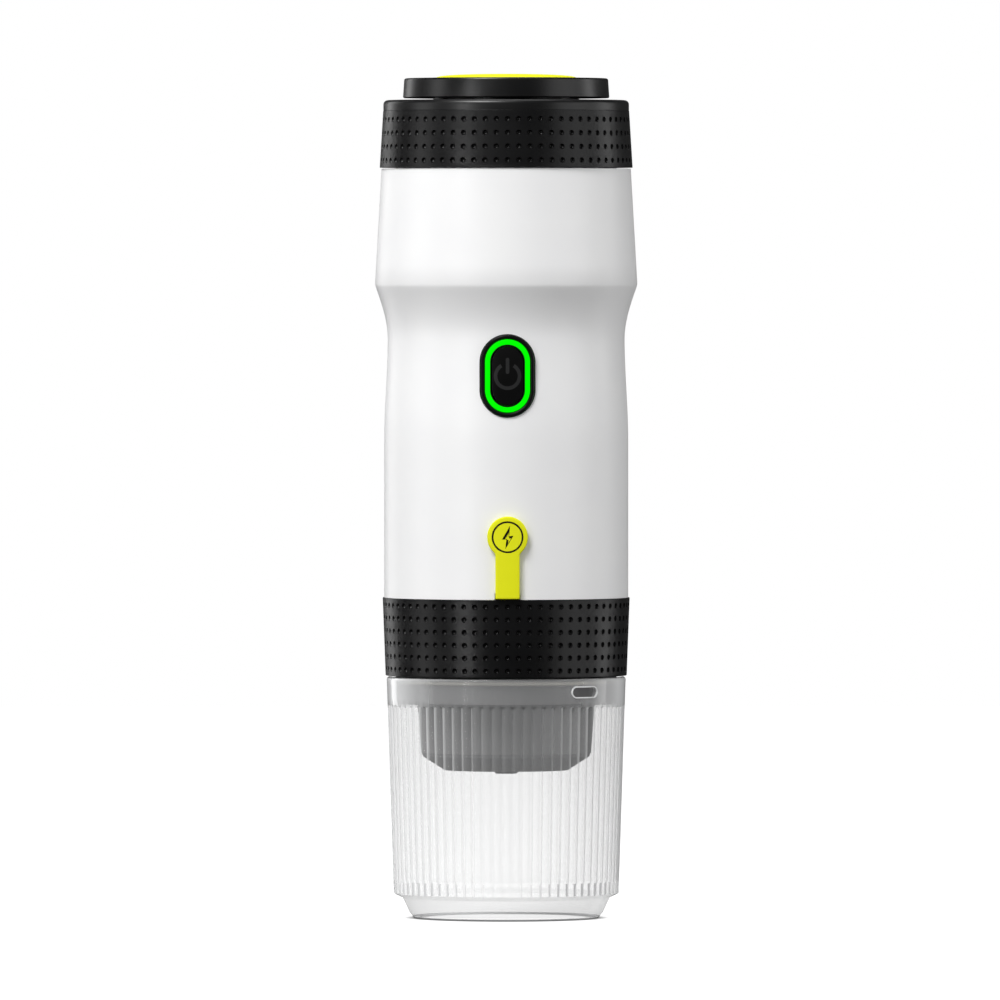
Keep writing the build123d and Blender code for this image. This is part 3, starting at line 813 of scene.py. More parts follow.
@dataclass(frozen=True)
class ClearFinish:
    """Clear plastic with a milky skin where its haze attribute is high, denser at a slant.

    Seen at a slant, its near side turns white where the veil attribute is high, and takes a painted
    shade, grey and denser, where the shade attribute is high, for the solid base seen through the
    reeds.
    """

    slot: Slot
    colour: Colour
    roughness: Pair
    density: Pair
    index: float = 1.45
    cloud_scale: float = 90.0
    veil_span: Pair = (0.2, 0.65)
    veil_density: float = 0.65
    # painted shade of the solid base seen through the reeds: its grey, where it starts and ends by
    # slant, and its density
    painted_shade_colour: Colour = (0.66, 0.665, 0.67)
    painted_shade_start: Pair = (0.14, 0.22)
    painted_shade_end: Pair = (0.44, 0.62)
    painted_shade_density: float = 0.8

    def make(self) -> bpy.types.Material:
        """Build the material.

        Returns:
            The material.
        """
        shader = Shader(self.slot.value)
        shader.constant(IOR=self.index)
        effect = shader.group("moulded_grain", Cloud_scale=self.cloud_scale)
        shader.feed(shader.ramp(effect.outputs["Cloud"], *self.roughness), "Roughness")
        slant = shader.nodes.new("ShaderNodeLayerWeight").outputs["Facing"]
        far = shader.nodes.new("ShaderNodeNewGeometry").outputs["Backfacing"]
        near = shader.ramp(far, 1.0, 0.0, span=UNIT_SPAN)
        milk = shader.ramp(slant, *self.density, span=UNIT_SPAN)
        milk = shader.combine("MULTIPLY", milk, shader.attribute(HAZE))
        veil = shader.ramp(slant, 0.0, self.veil_density, span=self.veil_span)
        veil = shader.combine("MULTIPLY", veil, shader.attribute(VEIL))
        milk = shader.combine("ADD", milk, shader.combine("MULTIPLY", veil, near))
        # painted shade: round the solid base the reeds' near side turns grey and denser at a slant
        shade = shader.ramp(shader.attribute(PAINTED_SHADE), 0.0, self.painted_shade_density, span=UNIT_SPAN)
        rise = shader.ramp(slant, 0.0, 1.0, span=self.painted_shade_start)
        fall = shader.ramp(slant, 1.0, 0.0, span=self.painted_shade_end)
        for mask in (rise, fall, near):
            shade = shader.combine("MULTIPLY", shade, mask)
        shader.feed(shader.tone(shade, self.colour, self.painted_shade_colour), "Base Color")
        shader.feed(shader.combine("ADD", milk, shade), "Alpha")
        return shader.material


@dataclass(frozen=True)
class LitFinish:
    """Light guide that glows evenly."""

    slot: Slot
    colour: Colour
    cloud: Colour
    strength: float
    unlit: Colour = (0.0, 0.05, 0.0)
    specular: float = 0.05
    roughness: float = 0.4
    cloud_scale: float = 180.0

    def make(self) -> bpy.types.Material:
        """Build the material.

        Returns:
            The material.
        """
        shader = Shader(self.slot.value)
        shader.constant(Base_Color=(*self.unlit, 1.0), Roughness=self.roughness)
        shader.constant(Specular_IOR_Level=self.specular, Emission_Strength=self.strength)
        effect = shader.group("moulded_grain", Cloud_scale=self.cloud_scale)
        shader.feed(shader.tone(effect.outputs["Cloud"], self.colour, self.cloud), "Emission Color")
        return shader.material


FINISHES = (
    MouldedFinish(Slot.WHITE, (0.88, 0.88, 0.88), (0.86, 0.86, 0.865), (0.36, 0.42), depth=0.004),
    MouldedFinish(
        Slot.BLACK, (0.004, 0.004, 0.0043), (0.005, 0.005, 0.0053), (0.30, 0.38), depth=0.006
    ),
    MouldedFinish(
        Slot.RUBBER,
        (0.004, 0.004, 0.0043),
        (0.0055, 0.0055, 0.0058),
        (0.30, 0.38),
        grain=0.3,
        depth=0.03,
        specular=0.32,
    ),
    MouldedFinish(
        Slot.GLOSS,
        (0.0036, 0.0036, 0.0036),
        (0.0048, 0.0048, 0.0048),
        (0.30, 0.36),
        depth=0.002,
        specular=0.12,
    ),
    MouldedFinish(
        Slot.YELLOW,
        (0.78, 0.79, 0.008),
        (0.75, 0.765, 0.007),
        (0.46, 0.56),
        depth=0.008,
        specular=0.2,
    ),
    LitFinish(Slot.LIGHT, (0.0, 1.0, 0.0), (0.0, 0.96, 0.0), 1.0),
    ClearFinish(Slot.CLEAR, (0.80, 0.805, 0.81), (0.10, 0.16), (0.2, 0.4)),
    MouldedFinish(Slot.GREY, (0.10, 0.10, 0.102), (0.112, 0.112, 0.114), (0.36, 0.44), depth=0.008),
    MouldedFinish(Slot.TANK, (0.50, 0.51, 0.52), (0.54, 0.55, 0.56), (0.28, 0.36), depth=0.006),
    TurnedMetal(Slot.STEEL, (0.66, 0.65, 0.64), (0.50, 0.50, 0.49), (0.20, 0.34)),
    MouldedFinish(Slot.SEAL, (0.60, 0.57, 0.50), (0.55, 0.53, 0.47), (0.44, 0.54), depth=0.008),
    MouldedFinish(
        Slot.FRAME, (0.013, 0.0132, 0.0136), (0.015, 0.0152, 0.0156), (0.42, 0.52), depth=0.012
    ),
    MouldedFinish(
        Slot.CELL, (0.020, 0.110, 0.260), (0.024, 0.125, 0.290), (0.22, 0.32), depth=0.004
    ),
    TurnedMetal(Slot.ALLOY, (0.58, 0.58, 0.59), (0.44, 0.44, 0.45), (0.38, 0.52), line=0.6),
    TurnedMetal(
        Slot.COPPER, (0.78, 0.36, 0.17), (0.42, 0.17, 0.07), (0.24, 0.40), line=0.45, depth=0.05
    ),
    MouldedFinish(
        Slot.BOARD,
        (0.010, 0.110, 0.035),
        (0.016, 0.160, 0.050),
        (0.28, 0.40),
        grain=0.9,
        depth=0.02,
        cloud_size=5.0,
        coat=0.4,
    ),
)


# Pieces


@cache
def extent(node: str) -> tuple[Vector, Vector]:
    """Lowest and highest corner of a node of the frame.

    Args:
        node: Name of the node.

    Returns:
        The two corners, in millimetres.
    """
    low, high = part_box(node)
    return low / MM, high / MM


class Palette:
    """The machine's finishes, by slot."""

    def __init__(self) -> None:
        """Build the shared effects and then every finish."""
        moulded_grain_group()
        turned_lines_group()
        self.materials = {finish.slot: finish.make() for finish in FINISHES}

    def dress(self, piece: Piece, slot: Slot) -> None:
        """Give a piece the finish of a slot."""
        paint(piece, self.materials[slot])

    def fit(self, piece: Piece, slot: Slot, *nodes: str) -> None:
        """Dress a piece in the finish of its slot and hide the nodes of the frame that it stands
        for.

        Args:
            piece: The finished piece.
            slot: The slot that its finish comes from.
            *nodes: Nodes that it stands for.
        """
        self.dress(piece, slot)
        if nodes:
            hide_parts(*nodes)

    def seat(self, piece: Piece, body: Body, slot: Slot, *nodes: str) -> None:
        """Fit a piece that rides on one body.

        Args:
            piece: The finished piece.
            body: The body that it rides on.
            slot: The slot that its finish comes from.
            *nodes: Nodes that it stands for.
        """
        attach(piece, body.value)
        self.fit(piece, slot, *nodes)
        LOG.info("%s rides on %s, %d faces", piece.name, body.value, len(piece.data.polygons))


@dataclass
class WhiteShell:
    """White waisted housing with its button opening, port slot and strap groove."""

    palette: Palette
    radius: float = 33.5
    sleeve_step: float = 1.5
    straight_height: float = 43.0
    waist_z: float = 159.0
    waist_draw: float = 1.0
    slope_height: float = 12.5
    slope_reach: float = 2.7
    slope_lean: float = 19.0
    flare_height: float = 2.5
    top_draw: float = 1.8
    top_wall: float = 1.6
    lower_wall: float = 1.7
    bore_step_height: float = 3.0
    opening_gap: float = 0.15
    slot_gap: float = 0.6
    groove_depth: float = 1.0
    groove_tool: float = 10.0
    flare_way: Pair = (0.2, 1.0)
    top_rings: int = 6

    def outline(self) -> list[Pair]:
        """Closed section of the shell, up the outside and down the bore.

        Returns:
            The corners.
        """
        low, high = extent("outer_shell")
        band_top = extent("lower_grip_sleeve")[1].z
        flare = high.x
        seat_radius = self.radius - self.sleeve_step
        bore = seat_radius - self.lower_wall
        straight_top = band_top + self.straight_height
        waist = (self.radius - self.waist_draw, self.waist_z)
        slope = (waist[0] + self.slope_reach, self.waist_z + self.slope_height)
        lean = math.radians(self.slope_lean)
        flare_z = slope[1] + self.flare_height
        top_radius = flare - self.top_draw
        upper_bore = top_radius - self.top_wall
        step_low, step_high = (slope[1] + way * self.bore_step_height / 2 for way in (-1, 1))
        upright, leaning = (0.0, 1.0), (math.sin(lean), math.cos(lean))
        points = [(seat_radius, low.z), (seat_radius, band_top), (self.radius, band_top)]
        points += [(self.radius, z) for z in spread(band_top, straight_top, 10)]
        points.append((self.radius, straight_top))
        points += sweep_between(points[-1], waist, upright, upright, 14)
        points += sweep_between(waist, slope, upright, leaning, 8)
        points += sweep_between(slope, (flare, flare_z), leaning, self.flare_way, 3)
        for ring in range(1, self.top_rings + 1):
            rise = (high.z - flare_z) * ring / self.top_rings
            points.append((flare + (top_radius - flare) * ring / self.top_rings, flare_z + rise))
        points += [(upper_bore, high.z), (upper_bore, step_high)]
        points += [(bore, step_low), (bore, low.z), points[0]]
        return points

    def cut_opening(self, piece: Piece, name: str, node: str, gap: float) -> None:
        """Cut a pill-shaped opening round a node through the front of the wall.

        Args:
            piece: The shell.
            name: Name of the cutting shape.
            node: Node that comes through the opening.
            gap: Gap round the node.
        """
        low, high = extent(node)
        width, height = high.x - low.x + 2 * gap, high.z - low.z + 2 * gap
        tool = pill_face(name, width, height, (low.z + high.z) / 2, self.radius / 2)
        thicken(tool, self.radius)
        cut(piece, tool)

    def cut_groove(self, piece: Piece) -> None:
        """Cut the groove in the sleeve's seat that takes the flap's tail."""
        low, high = extent("port_flap_tail")
        back = self.radius - self.sleeve_step - self.groove_depth - self.opening_gap
        width, height = (size + 2 * self.opening_gap for size in (high.x - low.x, high.z - low.z))
        clear_selection()
        bpy.ops.mesh.primitive_cube_add(
            size=MM,
            location=(0, -(back + self.groove_tool / 2) * MM, (low.z + high.z) / 2 * MM),
            scale=(width, self.groove_tool, height),
        )
        cut(piece, new_piece("strap_groove"))

    def build(self) -> None:
        """Turn the shell and cut its openings and its groove."""
        piece = lathe("white_shell", self.outline())
        self.cut_opening(piece, "button_opening", "button_bezel", self.opening_gap)
        self.cut_opening(piece, "port_slot", "charging_port", self.slot_gap)
        self.cut_groove(piece)
        weld(piece)
        smooth(piece)
        self.palette.seat(piece, Body.HOUSING, Slot.WHITE, "outer_shell")


@dataclass
class GripSleeve:
    """Rubber sleeve with rows of round pits."""

    palette: Palette
    name: str
    node: str
    body: Body
    seat_radius: float
    bottom_radius: float
    top_radius: float
    rows: int
    row_pitch: float
    first_row_drop: float
    columns: int = 70
    pit_radius: float = 0.78
    pit_depth: float = 0.75
    pit_sides: int = 12
    pit_rings: Outline = ((0.93, 0.35), (0.7, 0.75), (0.35, 1.0))
    edge_round: float = 0.2
    edge_margin: float = 1.2  # plain border at each edge, in roundings
    smooth_angle: float = 55.0

    def radius_at(self, z: float) -> float:
        """Outer radius of the tapered sleeve at a height."""
        low, high = extent(self.node)
        share = (z - low.z) / (high.z - low.z)
        return self.bottom_radius + share * (self.top_radius - self.bottom_radius)

    def cell(self, width: float, z: float) -> Piece:
        """One flat cell of the pattern: a square with a pit in its middle.

        Args:
            width: Width of the cell.
            z: Height of its centre.

        Returns:
            The cell.
        """
        clear_selection()
        bpy.ops.mesh.primitive_circle_add(
            vertices=self.pit_sides,
            radius=self.pit_radius * MM,
            location=(0, 0, z * MM),
            rotation=(math.pi / 2, math.pi / self.pit_sides, 0),
        )
        piece = new_piece(self.name)

        def in_pit(share: float, depth: float) -> Rule:
            """Rule that puts a corner on a ring of the pit."""

            def place(point: Vector) -> Vector:
                """Place of one corner."""
                way = Vector((point.x, point.z - z)).normalized() * share * self.pit_radius
                return Vector((way.x, depth * self.pit_depth, z + way.y))

            return place

        def on_border(point: Vector) -> Vector:
            """Place of a corner on the cell's border."""
            across, up = point.x, point.z - z
            reach = max(abs(across), abs(up))
            return Vector((across / reach * width / 2, 0, z + up / reach * self.row_pitch / 2))

        with editing(piece):
            bpy.ops.mesh.select_all(action="SELECT")
            for share, depth in self.pit_rings:
                extrude_ring(piece, in_pit(share, depth))
            bpy.ops.mesh.edge_face_add()
            pick_vertices(piece, lambda point: abs(point.y) < WELD)
            extrude_ring(piece, on_border)
        return piece

    def build(self) -> None:
        """Repeat the cell, wrap it round and close the sleeve with its edges and its inner wall."""
        low, high = extent(self.node)
        flat_width = math.tau * (self.bottom_radius + self.top_radius) / 2 / self.columns
        piece = self.cell(flat_width, high.z - self.first_row_drop)
        repeats = ((self.columns, (flat_width, 0, 0)), (self.rows, (0, 0, -self.row_pitch)))
        for count, step in repeats:
            finish_modifier(
                piece,
                "ARRAY",
                count=count,
                use_relative_offset=False,
                use_constant_offset=True,
                constant_offset_displace=Vector(step) * MM,
                use_merge_vertices=True,
                merge_threshold=WELD * MM,
            )
        margin = self.edge_margin * self.edge_round
        first_row = high.z - self.first_row_drop
        last_row = first_row - (self.rows - 1) * self.row_pitch
        border_top = min(first_row + self.row_pitch / 2, high.z - margin)
        border_low = max(last_row - self.row_pitch / 2, low.z + margin)

        def wrap(point: Vector) -> Vector:
            """Place of a flat point on the tapered sleeve."""
            z = min(max(point.z, border_low), border_top)
            angle = point.x / flat_width * math.tau / self.columns - math.pi / 2
            radius = self.radius_at(z) - point.y
            return Vector((radius * math.cos(angle), radius * math.sin(angle), z))

        move_vertices(piece, wrap)
        weld(piece)
        rounding = self.edge_round
        top_edge = self.radius_at(high.z)
        low_edge = self.radius_at(low.z)
        rings = arc((top_edge - rounding, high.z - rounding), rounding, 0, 90, 6)
        rings += [(self.seat_radius, high.z), (self.seat_radius, low.z)]
        rings += arc((low_edge - rounding, low.z + rounding), rounding, 270, 360, 6)
        rings.append((self.radius_at(border_low), border_low))
        with editing(piece):
            pick_vertices(piece, lambda point: abs(point.z - border_top) < 10 * WELD)
            for radius, z in rings:
                extrude_ring(piece, ring_at(radius, z))
        weld(piece)
        smooth(piece, self.smooth_angle)
        self.palette.seat(piece, self.body, Slot.RUBBER, self.node)


@dataclass
class Lid:
    """Cap with its skirt, the knob on top and the pad in the knob."""

    palette: Palette
    skirt_wall: float = 1.8
    skirt_gap: float = 0.7
    rim_height: float = 2.9
    rim_round: float = 1.2
    rim_break: float = 0.05
    plate: float = 6.0
    vent_radius: float = 2.0
    knob_gap: float = 0.6
    knob_taper: float = 0.3
    knob_round: float = 0.6
    knob_break: float = 0.25
    recess_break: float = 0.2
    pad_lip: float = 0.1
    pad_crown: float = 2.4
    pad_rings: tuple[float, ...] = (1.0, 0.995, 0.98, 0.95, 0.9, 0.82, 0.7, 0.55, 0.35, 0.0)
    pad_smooth_angle: float = 60.0
    fit: float = 0.15
    spigot_overhang: float = 8.3

    def build(self) -> None:
        """Turn the three pieces."""
        self.build_cap()
        self.build_knob()
        self.build_pad()

    def build_cap(self) -> None:
        """Turn the cap: skirt, rounded shoulder and a seat for the knob."""
        low, high = extent("lid_cap")
        knob_low, knob_high = extent("lid_knob")
        skirt = extent("lid_seal")[1].x + self.skirt_gap
        sleeve_seat = skirt + self.skirt_wall
        rim = high.x
        shoulder = high.z - self.rim_height
        spigot = knob_high.x - self.spigot_overhang + self.fit
        plate_low = high.z - self.plate
        outline = [(skirt, low.z), (sleeve_seat, low.z), (sleeve_seat, shoulder)]
        outline += [(rim - self.rim_break, shoulder), (rim, shoulder + self.rim_break)]
        outline += arc((rim - self.rim_round, high.z - self.rim_round), self.rim_round, 0, 90, 6)
        outline += [(spigot, high.z), (spigot, knob_low.z), (self.vent_radius, knob_low.z)]
        outline += [(self.vent_radius, plate_low), (skirt, plate_low), outline[0]]
        piece = lathe("lid_cap_body", outline)
        smooth(piece)
        self.palette.seat(piece, Body.LID, Slot.BLACK, "lid_cap")

    def build_knob(self) -> None:
        """Turn the knob: a disc on a spigot, hollowed for the pad."""
        low, high = extent("lid_knob")
        disc_low = extent("lid_cap")[1].z + self.knob_gap
        pad_low, pad_high = extent("lid_pad")
        spigot = high.x - self.spigot_overhang
        top = high.x - self.knob_taper
        recess = pad_high.x + self.fit
        outline = [(0, low.z), (spigot, low.z), (spigot, disc_low)]
        outline += [(high.x - self.knob_break, disc_low), (high.x, disc_low + self.knob_break)]
        outline += arc((top - self.knob_round, high.z - self.knob_round), self.knob_round, 0, 90, 6)
        outline += [(recess + self.recess_break, high.z), (recess, high.z - self.recess_break)]
        outline += [(recess, pad_low.z), (0, pad_low.z)]
        piece = lathe("lid_knob_disc", outline)
        smooth(piece)
        self.palette.seat(piece, Body.LID, Slot.BLACK, "lid_knob")

    def build_pad(self) -> None:
        """Turn the pad: from a low lip it swells to a flat crown."""
        low, high = extent("lid_pad")
        lip = extent("lid_knob")[1].z + self.pad_lip
        outline = [(0, low.z), (high.x, low.z)]
        for share in self.pad_rings:
            rise = (1 - share**self.pad_crown) ** (1 / self.pad_crown)
            outline.append((high.x * share, lip + (high.z - lip) * rise))
        piece = lathe("lid_pad_disc", outline)
        smooth(piece, self.pad_smooth_angle)
        self.palette.seat(piece, Body.LID, Slot.YELLOW, "lid_pad")


@dataclass
class PowerButton:
    """Black rim, lit ring and push button with its power sign."""

    palette: Palette
    rim: float = 1.15
    rim_round: float = 0.5
    ring_width: float = 1.4
    ring_round: float = 0.15
    ring_sink: float = 0.1
    shield: float = 0.3
    cap_sink: float = 0.3
    cap_gap: float = 0.5
    cap_round: float = 0.2
    sign_radius: float = 3.3
    sign_line: float = 1.0
    sign_drop: float = 0.05
    sign_gap: float = 62.0
    sign_bar_low: float = 0.6
    sign_bar_high: float = 5.0
    sign_depth: float = 0.03
    slices: int = 15

    def __post_init__(self) -> None:
        """Read the button's place from the frame."""
        self.low, self.high = extent("button_bezel")
        self.z = (self.low.z + self.high.z) / 2
        self.width = self.high.x - self.low.x
        self.height = self.high.z - self.low.z
        self.front = -self.low.y

    def bend(self, piece: Piece) -> None:
        """Cut a piece upright and bend it onto the round body."""
        slice_across(piece, ACROSS, spread(-self.width / 2, self.width / 2, self.slices))
        weld(piece)
        wrap_on_front(piece, self.front)
        smooth(piece)

    def build(self) -> None:
        """Build the rim, the ring with its shield, the cap and the sign."""
        back = -self.high.y
        rim = flat_ring("button_rim", self.width, self.height, self.rim, self.z, back, self.front)
        round_edges(rim, self.rim_round, 4)
        self.bend(rim)
        self.palette.seat(rim, Body.HOUSING, Slot.GLOSS, "button_bezel")
        low, high = extent("light_ring")
        wide, tall, back = high.x - low.x, high.z - low.z, -high.y
        front = self.front - self.ring_sink
        ring = flat_ring("glow_ring", wide, tall, self.ring_width, self.z, back, front)
        round_edges(ring, self.ring_round, 2)
        self.bend(ring)
        self.palette.seat(ring, Body.HOUSING, Slot.LIGHT, "light_ring")
        hole = 2 * self.ring_width
        shield = flat_ring(
            "ring_shield", wide - hole, tall - hole, self.shield, self.z, back, front
        )
        self.bend(shield)
        self.palette.seat(shield, Body.HOUSING, Slot.GLOSS)
        inset = 2 * (self.ring_width + self.cap_gap)
        face = pill_face("button_face", wide - inset, tall - inset, self.z, back)
        thicken(face, self.front - self.cap_sink - back)
        round_edges(face, self.cap_round, 4)
        self.bend(face)
        self.palette.seat(face, Body.BUTTON, Slot.GLOSS, "button_cap")
        self.build_sign(self.front - self.cap_sink)

    def build_sign(self, distance: float) -> None:
        """Draw the power sign: an open ring and a bar, a hair proud of the cap.

        Args:
            distance: Distance of the cap's face from the axis.
        """
        centre = self.z - self.sign_drop
        half = self.sign_line / 2
        start, end = 90 + self.sign_gap / 2, 450 - self.sign_gap / 2
        open_ring = arc((0, centre), self.sign_radius + half, start, end, 41)
        open_ring += arc((0, centre), self.sign_radius - half, end, start, 41)
        bar = arc((0, centre + self.sign_bar_high - half), half, 0, 180, 9)
        bar += arc((0, centre + self.sign_bar_low + half), half, 180, 360, 9)
        for name, outline in (("power_sign_ring", open_ring), ("power_sign_bar", bar)):
            piece = outline_face(name, outline, distance - self.sign_depth)
            thicken(piece, 2 * self.sign_depth)
            self.bend(piece)
            self.palette.seat(piece, Body.BUTTON, Slot.FRAME)


@dataclass
class ChargingFlap:
    """Silicone flap over the charging port, in one piece with its strap and tail."""

    palette: Palette
    head_radius: float = 5.65
    strap_width: float = 6.74
    neck_round: float = 1.5
    edge_round: float = 0.4
    tail_thickness: float = 1.0
    shell_radius: float = WhiteShell.radius
    shell_gap: float = 0.3
    sleeve_step: float = WhiteShell.sleeve_step
    tuck_height: float = 0.35
    bend_span: Pair = (-1.5, 5.0)  # above the sleeve, as is the hinge
    bend_slices: int = 24
    hinge_span: Pair = (0.3, 3.2)
    head_slices: int = 13
    plug_width: float = 9.2
    plug_height: float = 3.6
    plug_round: float = 0.3
    plug_sink: float = 0.2
    mark_radius: float = 4.1
    mark_line: float = 0.5
    engraving: float = 0.4
    # dirt and painted shade laid in the engraving: how far below the face and how thick, and its
    # fit
    dirt_and_painted_shade_depth: float = 0.1
    dirt_and_painted_shade_fit: float = 0.01
    bolt: Outline = (
        (0.7, 3.2),
        (-1.55, -0.65),
        (-0.3, -0.65),
        (-0.65, -3.3),
        (1.6, 0.4),
        (0.4, 0.25),
    )
    # painted shadows: dark strips along the bolt recess's upper left edges, where its walls cast
    # shade
    bolt_painted_shadows: tuple[Outline, ...] = (
        ((0.68, 3.15), (-1.52, -0.63), (-0.83, -0.63), (0.55, 1.73)),
        ((-0.28, -0.67), (-0.64, -3.25), (0.03, -2.18), (0.22, -0.74)),
        ((0.42, 0.23), (1.56, 0.38), (1.2, -0.18), (0.48, -0.24)),
    )
    # width of the painted shade line round the bolt
    bolt_line: float = 0.14

    def __post_init__(self) -> None:
        """Read the flap's place from the frame."""
        low, high = extent("port_flap")
        self.head_z = high.z - self.head_radius
        self.outer = -low.y
        self.plug_back = -high.y
        self.inner = self.shell_radius + self.shell_gap
        self.tail_low = extent("port_flap_tail")[0].z
        self.sleeve_top = extent("lower_grip_sleeve")[1].z

    def outline(self) -> list[Pair]:
        """Outline of the flat flap: strap, rounded neck and round head.

        Returns:
            The corners, from the strap's lower right one.
        """
        half = self.strap_width / 2
        side = half + self.neck_round
        drop = math.sqrt((self.head_radius + self.neck_round) ** 2 - side**2)
        turn = math.degrees(math.atan2(drop, side))
        neck_z = self.head_z - drop
        points = [(half, self.tail_low)]
        points += arc((side, neck_z), self.neck_round, 180, 180 - turn, 6)
        points += arc((0, self.head_z), self.head_radius, -turn, 180 + turn, 41)[1:-1]
        points += arc((-side, neck_z), self.neck_round, turn, 0, 6)
        points.append((-half, self.tail_low))
        return points

    def tuck(self, point: Vector) -> Vector:
        """Lead the strap in under the sleeve: place of a flat point.

        Args:
            point: The point, with its depth along -Y.

        Returns:
            The point, moved towards the axis below the tuck.
        """
        rise = (point.z - self.sleeve_top) / self.tuck_height
        share = 1 - min(max(rise, 0.0), 1.0)
        share = share * share * (3 - 2 * share)
        tail_outer = self.shell_radius - self.sleeve_step
        across = (-point.y - self.inner) / (self.outer - self.inner)
        tucked = tail_outer - self.tail_thickness * (1 - across)
        radius = -point.y + (tucked + point.y) * share
        return Vector((point.x, -radius, point.z))

    def build(self) -> None:
        """Draw the flap flat, round it, tuck its tail in, bend it on and lay dirt and painted shade
        in its engraving.
        """
        piece = outline_face("charging_flap", self.outline(), self.inner)
        thicken(piece, self.outer - self.inner)
        round_edges(piece, self.edge_round, 4)
        self.engrave(piece)
        bend_low, bend_high = (self.sleeve_top + rise for rise in self.bend_span)
        slice_across(piece, UPWARDS, spread(bend_low, bend_high, self.bend_slices))
        self.slice_head(piece)
        move_vertices(piece, self.tuck)
        wrap_on_front(piece, self.outer)
        self.build_plug()
        smooth(piece)
        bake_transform(piece)
        self.palette.fit(piece, Slot.YELLOW, "port_flap", "port_flap_tail")
        faces = len(piece.data.polygons)
        LOG.info("%s bends between housing and flap, %d faces", piece.name, faces)
        self.build_dirt_and_painted_shade()

    def slice_head(self, piece: Piece) -> None:
        """Cut a piece upright, so that it can bend onto the round body."""
        slice_across(piece, ACROSS, spread(-self.head_radius, self.head_radius, self.head_slices))
        weld(piece)

    def build_plug(self) -> None:
        """Draw the plug behind the head that goes into the socket."""
        width, height = self.plug_width, self.plug_height
        plug = pill_face("flap_plug", width, height, self.head_z, self.plug_back)
        thicken(plug, self.inner + self.plug_sink - self.plug_back)
        round_edges(plug, self.plug_round, 2)
        smooth(plug)
        self.palette.seat(plug, Body.FLAP, Slot.YELLOW)

    def bolt_face(self, name: str, outline: Outline, distance: float) -> Piece:
        """Flat face of the bolt or a stroke of it, in the middle of the head.

        Args:
            name: Name of the piece.
            outline: Corners about the head's centre.
            distance: Distance in front of the axis.

        Returns:
            The face.
        """
        return outline_face(name, [(x, self.head_z + z) for x, z in outline], distance)

    def engrave(self, piece: Piece) -> None:
        """Cut the ring's groove and the bolt's recess into the flat flap.

        Args:
            piece: The flap, before it is bent.
        """
        floor, clear = self.outer - self.engraving, self.outer + self.engraving
        across = 2 * self.mark_radius + self.mark_line
        width, z = self.mark_line, self.head_z
        cut(piece, flat_ring("ring_groove", across, across, width, z, floor, clear))
        recess = self.bolt_face("bolt_recess", self.bolt, floor)
        thicken(recess, clear - floor)
        cut(piece, recess)

    def build_dirt_and_painted_shade(self) -> None:
        """Lay dark pieces in the engraving: dirt and painted shade in the ring's groove, a painted
        shade line round the bolt and painted shadows along its shaded edges.
        """
        floor = self.outer - self.engraving + self.dirt_and_painted_shade_fit
        across = 2 * (self.mark_radius - self.dirt_and_painted_shade_fit) + self.mark_line
        width, z = self.mark_line - 2 * self.dirt_and_painted_shade_fit, self.head_z
        face = self.outer - self.dirt_and_painted_shade_depth
        # dark ring in the groove: part dirt, part painted shade
        pieces = [flat_ring("flap_ring_mark", across, across, width, z, floor, face)]
        line = self.bolt_face("flap_bolt_line", self.bolt, floor)
        with editing(line):
            bpy.ops.mesh.select_all(action="SELECT")
            bpy.ops.mesh.inset(thickness=self.bolt_line * MM, depth=0.0)
            bpy.ops.mesh.delete(type="FACE")
        thicken(line, self.dirt_and_painted_shade_depth / 2)
        pieces.append(line)
        for count, outline in enumerate(self.bolt_painted_shadows, 1):
            stroke = self.bolt_face(f"flap_bolt_mark_{count}", outline, floor)
            thicken(stroke, self.dirt_and_painted_shade_depth)
            pieces.append(stroke)
        for piece in pieces:
            self.slice_head(piece)
            wrap_on_front(piece, self.outer)
            smooth(piece)
            self.palette.seat(piece, Body.FLAP, Slot.BLACK)


